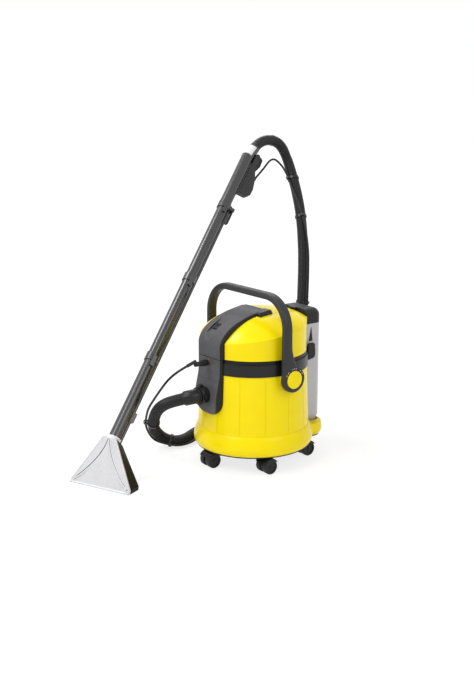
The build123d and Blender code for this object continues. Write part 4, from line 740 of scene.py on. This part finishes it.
def beside_hose(index, gap):
    """The spray hose's point beside one point of the suction hose."""
    here = Vector(HOSE_ROUTE[index])
    run = (Vector(HOSE_ROUTE[index + 1]) - Vector(HOSE_ROUTE[index - 1])).normalized()
    hint = spray_side(index)
    return here + (hint - run * hint.dot(run)).normalized() * gap


class CLEANER_OT_spray_hose(bpy.types.Operator):
    """Lay the thin spray hose along the suction hose, with its clips and plug"""
    bl_idname = "cleaner.spray_hose"
    bl_label = "Spray hose"

    def execute(self, context):
        sizes, shades = context.scene.cleaner_sizes, context.scene.cleaner_colours
        gap = sizes.hose_radius + sizes.spray_radius + SPRAY_CLEAR
        beside = [beside_hose(index, gap) for index in range(min(SPRAY_SIDE), max(SPRAY_SIDE) + 1)]
        route = [AXIS + Vector(p) for p in (*LEAD_ROUTE, *beside, *TAIL_ROUTE)]
        hose = curve_piece("spray_hose_run", route, sizes.spray_radius)
        rubber = moulded("spray_hose_rubber", shades.black, roughness=0.38, grain=0.0003, strength=0.06,
                         mottle=0.08, edge=0.0)
        hose.data.materials.append(rubber)
        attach(hose, "machine")
        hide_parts("spray_hose")
        clips = moulded("clip_plastic", scaled(shades.black, 1.5), roughness=0.3, coat=0.2)
        coat_nodes(clips, "hose_clips", "spray_plug")
        return {"FINISHED"}


# ---------------------------------------------------------------- machine
class CLEANER_OT_mouldings(bpy.types.Operator):
    """Finish the yellow drum, skirt, head and hub discs"""
    bl_idname = "cleaner.mouldings"
    bl_label = "Yellow mouldings"

    def execute(self, context):
        shades = context.scene.cleaner_colours
        gloss = moulded("yellow_gloss", shades.yellow, roughness=0.24, grain=0.0006, strength=0.02,
                        mottle=0.02, coat=0.06, edge=0.0012, shine=0.16)
        coat_nodes(gloss, "drum_shell", "base_skirt", "head_cover", "handle_discs")
        return {"FINISHED"}


def on_oval(end, angle, radius):
    """A place on an oval round the recess, at its upper end (1) or lower end (-1)."""
    rise = end * (RECESS_HALF_LENGTH - RECESS_RADIUS) + radius * math.sin(angle)
    return RECESS_MIDDLE + Vector((radius * math.cos(angle), 0.0, 0.0)) + RECESS_UP * rise


def recess_ring():
    """A raised line round the oval recess of the rockers, laid on the console's arch."""
    verts = []
    spots = [(end, math.pi * k / RECESS_TURNS + (0.0 if end > 0 else math.pi))
             for end in (1, -1) for k in range(RECESS_TURNS + 1)]
    for end, angle in spots:
        base = on_oval(end, angle, RIM_SEAT)
        seat = surface_point("console_upper", base + RECESS_OUT * CAST_FROM, -RECESS_OUT)
        for radius, lift in RIM_SECTION:
            height = (seat - base).dot(RECESS_OUT) + lift
            verts.append(on_oval(end, angle, radius) + RECESS_OUT * height)
    return verts, ring_faces(len(spots), len(RIM_SECTION))


def console_lip():
    """The rounded end of the lip on the console."""
    return joined_loops([rounded_loop(AXIS + Vector((place, LIP_Y, LIP_Z)), LIP_BACK, LIP_UP,
                                      LIP_FLAT + LIP_ROUND * share, LIP_ROUND * share)
                         for place, share in LIP_SECTIONS])


class CLEANER_OT_console(bpy.types.Operator):
    """Finish the grained console strip and its rockers, with its lip and the rim of its recess"""
    bl_idname = "cleaner.console"
    bl_label = "Console"

    def execute(self, context):
        shades = context.scene.cleaner_colours
        strip = moulded("console_grained", shades.console, roughness=0.5, grain=0.0006, strength=0.35,
                        mottle=0.05, edge=0.0015, sides=scaled(shades.black, 0.8))
        coat_nodes(strip, "console_lower", "console_middle", "console_upper")
        rocker = moulded("rocker_gloss", scaled(shades.black, 0.7), roughness=0.34, grain=0.0004,
                         strength=0.03, coat=0.05)
        coat_nodes(rocker, "switch_suction", "switch_spray")
        dark = moulded("lip_black", scaled(shades.black, 0.8), roughness=0.3, strength=0.08)
        mesh_piece("console_lip_end", *console_lip(), dark, "head", "black")
        rim = moulded("recess_rim", scaled(shades.console, 1.6), roughness=0.4, strength=0.1)
        mesh_piece("recess_rim", *recess_ring(), rim, "head", "grey")
        return {"FINISHED"}


def elbow_collar():
    """The rings round the inlet elbow, and the lugs on them."""
    pieces, low, high = [], COLLAR_EDGE, COLLAR_WIDTH - COLLAR_EDGE
    for start, radius in COLLAR_RINGS:
        ring = [(COLLAR_BORE, 0.0), (radius - COLLAR_EDGE, 0.0), (radius, low), (radius, high),
                (radius - COLLAR_EDGE, COLLAR_WIDTH), (COLLAR_BORE, COLLAR_WIDTH)]
        pieces.append(turned(AXIS + Vector((0.0, start, INLET_Z)), -BACK, ring))
    for k in range(LUG_COUNT):
        angle = math.radians((k + 0.5) * 360 / LUG_COUNT)
        out = Vector((math.cos(angle), 0.0, math.sin(angle)))
        across = Vector((-math.sin(angle), 0.0, math.cos(angle)))
        place = AXIS + Vector((0.0, LUG_Y, INLET_Z)) + out * LUG_RADIUS
        pieces.append(block(place, out, across, BACK, LUG_SIZE))
    return together(*pieces)


class CLEANER_OT_trim(bpy.types.Operator):
    """Finish the black rim band, inlet, elbow and base"""
    bl_idname = "cleaner.trim"
    bl_label = "Black trim"

    def execute(self, context):
        shades = context.scene.cleaner_colours
        black = moulded("black_satin", shades.black, roughness=0.36, mottle=0.08)
        # The band's top is painted darker, as shade in the gap under the head.
        band = moulded("band_satin_painted_shade", scaled(shades.black, 1.2), roughness=0.36, mottle=0.08,
                       above=(BAND_SHADE_Z, scaled(shades.black, 0.4)))
        coat_nodes(band, "rim_band")
        mesh_piece("elbow_collar", *elbow_collar(), black, "machine", "black")
        coat_nodes(black, "handle_pivots", "inlet_elbow", "suction_inlet", "base_plate", "tank_catch",
                   "tank_valve", "head_chassis", "float_cage", "pump")
        coat_nodes(metal("steel_zinced", shades.steel, roughness=0.3), "base_screws", "head_screws")
        coat_nodes(metal("brass_turned", shades.brass, roughness=0.28), "spray_socket", "spray_tip")
        return {"FINISHED"}


def bow_path():
    """The bow's middle line up one leg, over the bar and down the other: (X, Z, turn of its outside)."""
    half, top = HANDLE_OUT - LEG_HALF, HANDLE_TOP - BAR_HALF
    low, inner = top - BOW_BEND, half - BOW_BEND
    line = [(half, PIVOT_Z + (low - PIVOT_Z) * k / LEG_STEPS, 0.0) for k in range(LEG_STEPS)]
    for k in range(BEND_STEPS + 1):
        turn = 90.0 * k / BEND_STEPS
        line.append((inner + BOW_BEND * math.cos(math.radians(turn)),
                     low + BOW_BEND * math.sin(math.radians(turn)), turn))
    line += [(inner * (1 - k / BAR_STEPS), top, 90.0) for k in range(1, BAR_STEPS + 1)]
    return line + [(-x, z, 180.0 - turn) for x, z, turn in reversed(line[:-1])]


def bow_loops():
    """Sections of the carry handle: legs that widen to the hubs, and a rounder bar."""
    loops = []
    for x, z, turn in bow_path():
        out = Vector((math.cos(math.radians(turn)), 0.0, math.sin(math.radians(turn))))
        share = min(1.0, max(0.0, (z - PIVOT_Z) / (HANDLE_TOP - PIVOT_Z)))
        flare = FLARE * min(1.0, max(0.0, (PIVOT_Z + FLARE_TOP - z) / FLARE_SPAN)) ** FLARE_POWER
        front, back = BOW_FRONT + BOW_NARROWS * share, BOW_BACK - BOW_NARROWS * share + flare
        thick = LEG_HALF + (BAR_HALF - LEG_HALF) * share ** 3
        centre = AXIS + Vector((x, (front + back) / 2, z))
        loops.append(rounded_loop(centre, out, BACK, thick, (back - front) / 2))
    return loops


def hub(side):
    """The round end of a leg, with a seat for its disc."""
    inner = AXIS + Vector((side * (HANDLE_OUT - HUB_DEPTH), 0.0, PIVOT_Z))
    return turned(inner, (side, 0.0, 0.0), HUB_PROFILE, HUB_TURNS)


def hub_marks(tick):
    """The short lines round each hub's disc."""
    marks = []
    for side in (-1, 1):
        for turn in MARK_TURNS:
            angle = math.radians(turn)
            out = Vector((0.0, -math.sin(angle), math.cos(angle)))
            ahead = Vector((0.0, math.cos(angle), math.sin(angle)))
            place = AXIS + Vector((side * HANDLE_OUT, 0.0, PIVOT_Z)) + out * MARK_RADIUS
            half = tick / 2 * (SHORT_MARK if abs(turn) <= SHORT_MARKS else 1.0)
            marks.append(block(place, out, ahead, ACROSS, (MARK_WIDTH, half, MARK_HEIGHT)))
    return together(*marks)


class CLEANER_OT_handle(bpy.types.Operator):
    """Shape the carry handle's rounded bow, with its hubs and their marks"""
    bl_idname = "cleaner.handle"
    bl_label = "Carry handle"

    def execute(self, context):
        sizes, shades = context.scene.cleaner_sizes, context.scene.cleaner_colours
        satin = moulded("handle_satin", shades.handle, roughness=0.4, grain=0.0006, strength=0.3,
                        mottle=0.06, edge=0.0015)
        shape = together(joined_loops(bow_loops()), hub(1), hub(-1))
        bow = mesh_piece("carry_handle_bow", *shape, satin, "handle", "grey")
        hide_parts("carry_handle")
        white = moulded("mark_white", shades.white, roughness=0.4, edge=0.0)
        mesh_piece("hub_marks", *hub_marks(sizes.tick), white, "handle", "white", smooth=False)
        return {"FINISHED"}


def tank_slots():
    """Sheets over the slots in the tank's two sides, painted dark as the shade inside them."""
    sides = []
    for side in (-1, 1):
        loops = [[AXIS + Vector((side * x, y, z)) for y, z in SLOT_OUTLINE] for x in SLOT_X]
        sides.append(joined_loops(loops))
    return together(*sides)


class CLEANER_OT_tank(bpy.types.Operator):
    """Finish the clean-water tank and its lid, with the slots in its sides"""
    bl_idname = "cleaner.tank"
    bl_label = "Clean-water tank"

    def execute(self, context):
        shades = context.scene.cleaner_colours
        coat_nodes(clear_plastic("tank_smoky", shades.tank, roughness=0.28, streaks=0.05), "tank_body")
        # The slots are real. Their dark sheets are painted shade inside them.
        dark = moulded("slot_painted_shade", scaled(shades.black, 0.6), roughness=0.5, edge=0.0)
        mesh_piece("tank_slots", *tank_slots(), dark, "tank", "black", smooth=False)
        lid = moulded("lid_satin", shades.black, roughness=0.38, grain=0.0006, strength=0.25,
                      mottle=0.06, edge=0.0012)
        coat_nodes(lid, "tank_lid")
        return {"FINISHED"}


class CLEANER_OT_casters(bpy.types.Operator):
    """Finish the five twin-wheel casters"""
    bl_idname = "cleaner.casters"
    bl_label = "Casters"

    def execute(self, context):
        shades = context.scene.cleaner_colours
        hood = moulded("caster_black", shades.black, roughness=0.34, strength=0.1, mottle=0.06)
        tread = moulded("wheel_black", shades.tyre, roughness=0.5, strength=0.25, mottle=0.1)
        for index in range(1, CASTER_COUNT + 1):
            coat_nodes(hood, f"caster_housing_{index}")
            coat_nodes(tread, f"caster_wheels_{index}")
        return {"FINISHED"}


# ---------------------------------------------------------------- wand, gun and nozzle
class CLEANER_OT_wand(bpy.types.Operator):
    """Finish the wand's tubes, the grip and the spray gun"""
    bl_idname = "cleaner.wand"
    bl_label = "Wand and gun"

    def execute(self, context):
        shades = context.scene.cleaner_colours
        tube = moulded("wand_satin", scaled(shades.wand, 0.75), roughness=0.27, strength=0.06,
                       mottle=0.06, coat=0.15, edge=0.0006, shine=0.7)
        coat_nodes(tube, "wand_tube_lower", "wand_tube_middle", "wand_tube_upper", "grip_tube")
        gun = moulded("gun_speckled", shades.wand, roughness=0.46, grain=0.0009, strength=0.5,
                      mottle=0.10, edge=0.0012)
        coat_nodes(gun, "spray_gun")
        dark = moulded("trigger_black", shades.black, roughness=0.34, edge=0.001)
        coat_nodes(dark, "trigger", "trigger_lock", "coupling_lever")
        ring = moulded("vent_white", shades.white, roughness=0.3, strength=0.06, mottle=0.02)
        coat_nodes(ring, "vent_slider")
        return {"FINISHED"}


def on_nozzle(behind, height, across=0.0):
    """A place by its distance behind the nozzle's front edge, its height and its place across."""
    return AXIS + NOZZLE_AT + NOZZLE_AHEAD * behind + NOZZLE_ACROSS * across + Vector((0.0, 0.0, height))


def on_cover(share, across, lift=0.0):
    """A place on the cover's face, by its share of the way up."""
    behind, height = (foot + rise * share for foot, rise in zip(COVER_FOOT, COVER_RISE))
    return on_nozzle(behind, height, across) + COVER_OUT * lift


def bowed(share):
    """How far from the middle a bowed rib runs, from the foot's corner to the neck."""
    return BOWED_NECK + BOWED_SPREAD * (1 - share) ** BOWED_POWER


def edged(share):
    """How far from the middle the rib along the cover's edge runs."""
    return COVER_HALF - COVER_NARROWS * share


def shade_line(share):
    """How far from the middle the line of painted shade beside a bowed rib runs."""
    return bowed(share) - SHADE_LINE_INSIDE - SHADE_LINE_SPREAD * share


def cover_strips(line, crown, foot, lift):
    """Low ribs on the cover, one each side of its middle, by half the widths of their crown and foot."""
    strips = []
    for side in (-1, 1):
        loops = []
        for k in range(RIB_STEPS + 1):
            share = RIB_FIRST + (RIB_LAST - RIB_FIRST) * k / RIB_STEPS
            middle = side * line(share)
            wide = RIB_THIN + RIB_SWELL * math.sin(math.pi * (TAPER_START + TAPER_RUN * k / RIB_STEPS))
            outer = foot * wide + RIB_FOOT
            inner = crown * wide
            section = ((-outer, -RIB_SUNK), (-inner, lift), (inner, lift), (outer, -RIB_SUNK))
            loops.append([on_cover(share, middle + place, height) for place, height in section])
        strips.append(joined_loops(loops))
    return together(*strips)


def cover_lip():
    """The bright lip along the cover's foot."""
    loops = []
    for k in range(COVER_LIP_STEPS + 1):
        across = -COVER_HALF + 2 * COVER_HALF * k / COVER_LIP_STEPS
        loops.append([on_nozzle(behind, height, across) for behind, height in COVER_LIP])
    return joined_loops(loops)


class CLEANER_OT_nozzle(bpy.types.Operator):
    """Finish the floor nozzle and its milky cover, with its ribs, lip and collar"""
    bl_idname = "cleaner.nozzle"
    bl_label = "Floor nozzle"

    def execute(self, context):
        shades = context.scene.cleaner_colours
        milky = clear_plastic("nozzle_milky", shades.milky, roughness=0.24, streaks=0.03)
        coat_nodes(milky, "nozzle_cover")
        dull = moulded("nozzle_black", shades.black, roughness=0.4, strength=0.1, mottle=0.06,
                       shine=0.12)
        coat_nodes(dull, "nozzle_body", "nozzle_knob")
        bright = moulded("nozzle_rib_white", shades.white, roughness=0.25, grain=0.0004, strength=0.03,
                         mottle=0.01, coat=0.3, edge=0.0)
        ribs = together(cover_strips(bowed, crown=0.0012, foot=0.0012, lift=0.0017),
                        cover_strips(edged, crown=0.0011, foot=0.0011, lift=0.0009), cover_lip())
        mesh_piece("nozzle_ribs", *ribs, bright, "machine", "clear")
        # A dark strip beside each bowed rib, painted as the shade the rib casts.
        painted_shade = moulded("nozzle_rib_painted_shade", scaled(shades.milky, 0.30), roughness=0.4, grain=0.0004,
                         strength=0.03, edge=0.0)
        lines = cover_strips(shade_line, crown=0.0012, foot=0.0020, lift=0.0004)
        mesh_piece("nozzle_painted_shade_lines", *lines, painted_shade, "machine", "clear")
        collar = turned(on_nozzle(*NOZZLE_NECK), WAND_DIRECTION, NECK_COLLAR)
        mesh_piece("nozzle_collar", *collar, bright, "machine", "clear")
        return {"FINISHED"}


class CLEANER_OT_inner_works(bpy.types.Operator):
    """Finish the motor, fan, float, filter and water tubes inside"""
    bl_idname = "cleaner.inner_works"
    bl_label = "Inner works"

    def execute(self, context):
        shades = context.scene.cleaner_colours
        coat_nodes(metal("motor_cast", scaled(shades.steel, 0.85), roughness=0.42), "motor", "fan_rotor")
        rubber = moulded("seal_rubber", scaled(shades.black, 1.2), roughness=0.7, strength=0.3)
        coat_nodes(rubber, "head_seal", "valve_seat")
        white = moulded("float_white", shades.white, roughness=0.35)
        coat_nodes(white, "float_ball", "feed_tube", "pressure_tube")
        coat_nodes(fibrous("filter_paper", shades.paper), "cartridge_filter")
        return {"FINISHED"}


OPERATORS = (
    CLEANER_OT_stage, CLEANER_OT_suction_hose, CLEANER_OT_spray_hose, CLEANER_OT_mouldings,
    CLEANER_OT_console, CLEANER_OT_trim, CLEANER_OT_handle, CLEANER_OT_tank, CLEANER_OT_casters,
    CLEANER_OT_wand, CLEANER_OT_nozzle, CLEANER_OT_inner_works,
)


class CLEANER_PT_panel(bpy.types.Panel):
    """Lists the cleaner's pieces"""
    bl_idname = "CLEANER_PT_panel"
    bl_label = "Cleaner"
    bl_space_type = "VIEW_3D"
    bl_region_type = "UI"
    bl_category = "Cleaner"

    def draw(self, context):
        for operator in OPERATORS:
            self.layout.operator(operator.bl_idname)
        for group in (context.scene.cleaner_colours, context.scene.cleaner_sizes):
            box = self.layout.box()
            for name in group.bl_rna.properties.keys()[2:]:
                box.prop(group, name)


CLASSES = (CleanerColours, CleanerSizes, *OPERATORS, CLEANER_PT_panel)


def register():
    for cls in CLASSES:
        bpy.utils.register_class(cls)
    bpy.types.Scene.cleaner_colours = PointerProperty(type=CleanerColours)
    bpy.types.Scene.cleaner_sizes = PointerProperty(type=CleanerSizes)


def unregister():
    del bpy.types.Scene.cleaner_sizes
    del bpy.types.Scene.cleaner_colours
    for cls in reversed(CLASSES):
        bpy.utils.unregister_class(cls)


def main():
    register()
    for operator in OPERATORS:
        group, name = operator.bl_idname.split(".")
        getattr(getattr(bpy.ops, group), name)()


if __name__ == "__main__":
    main()
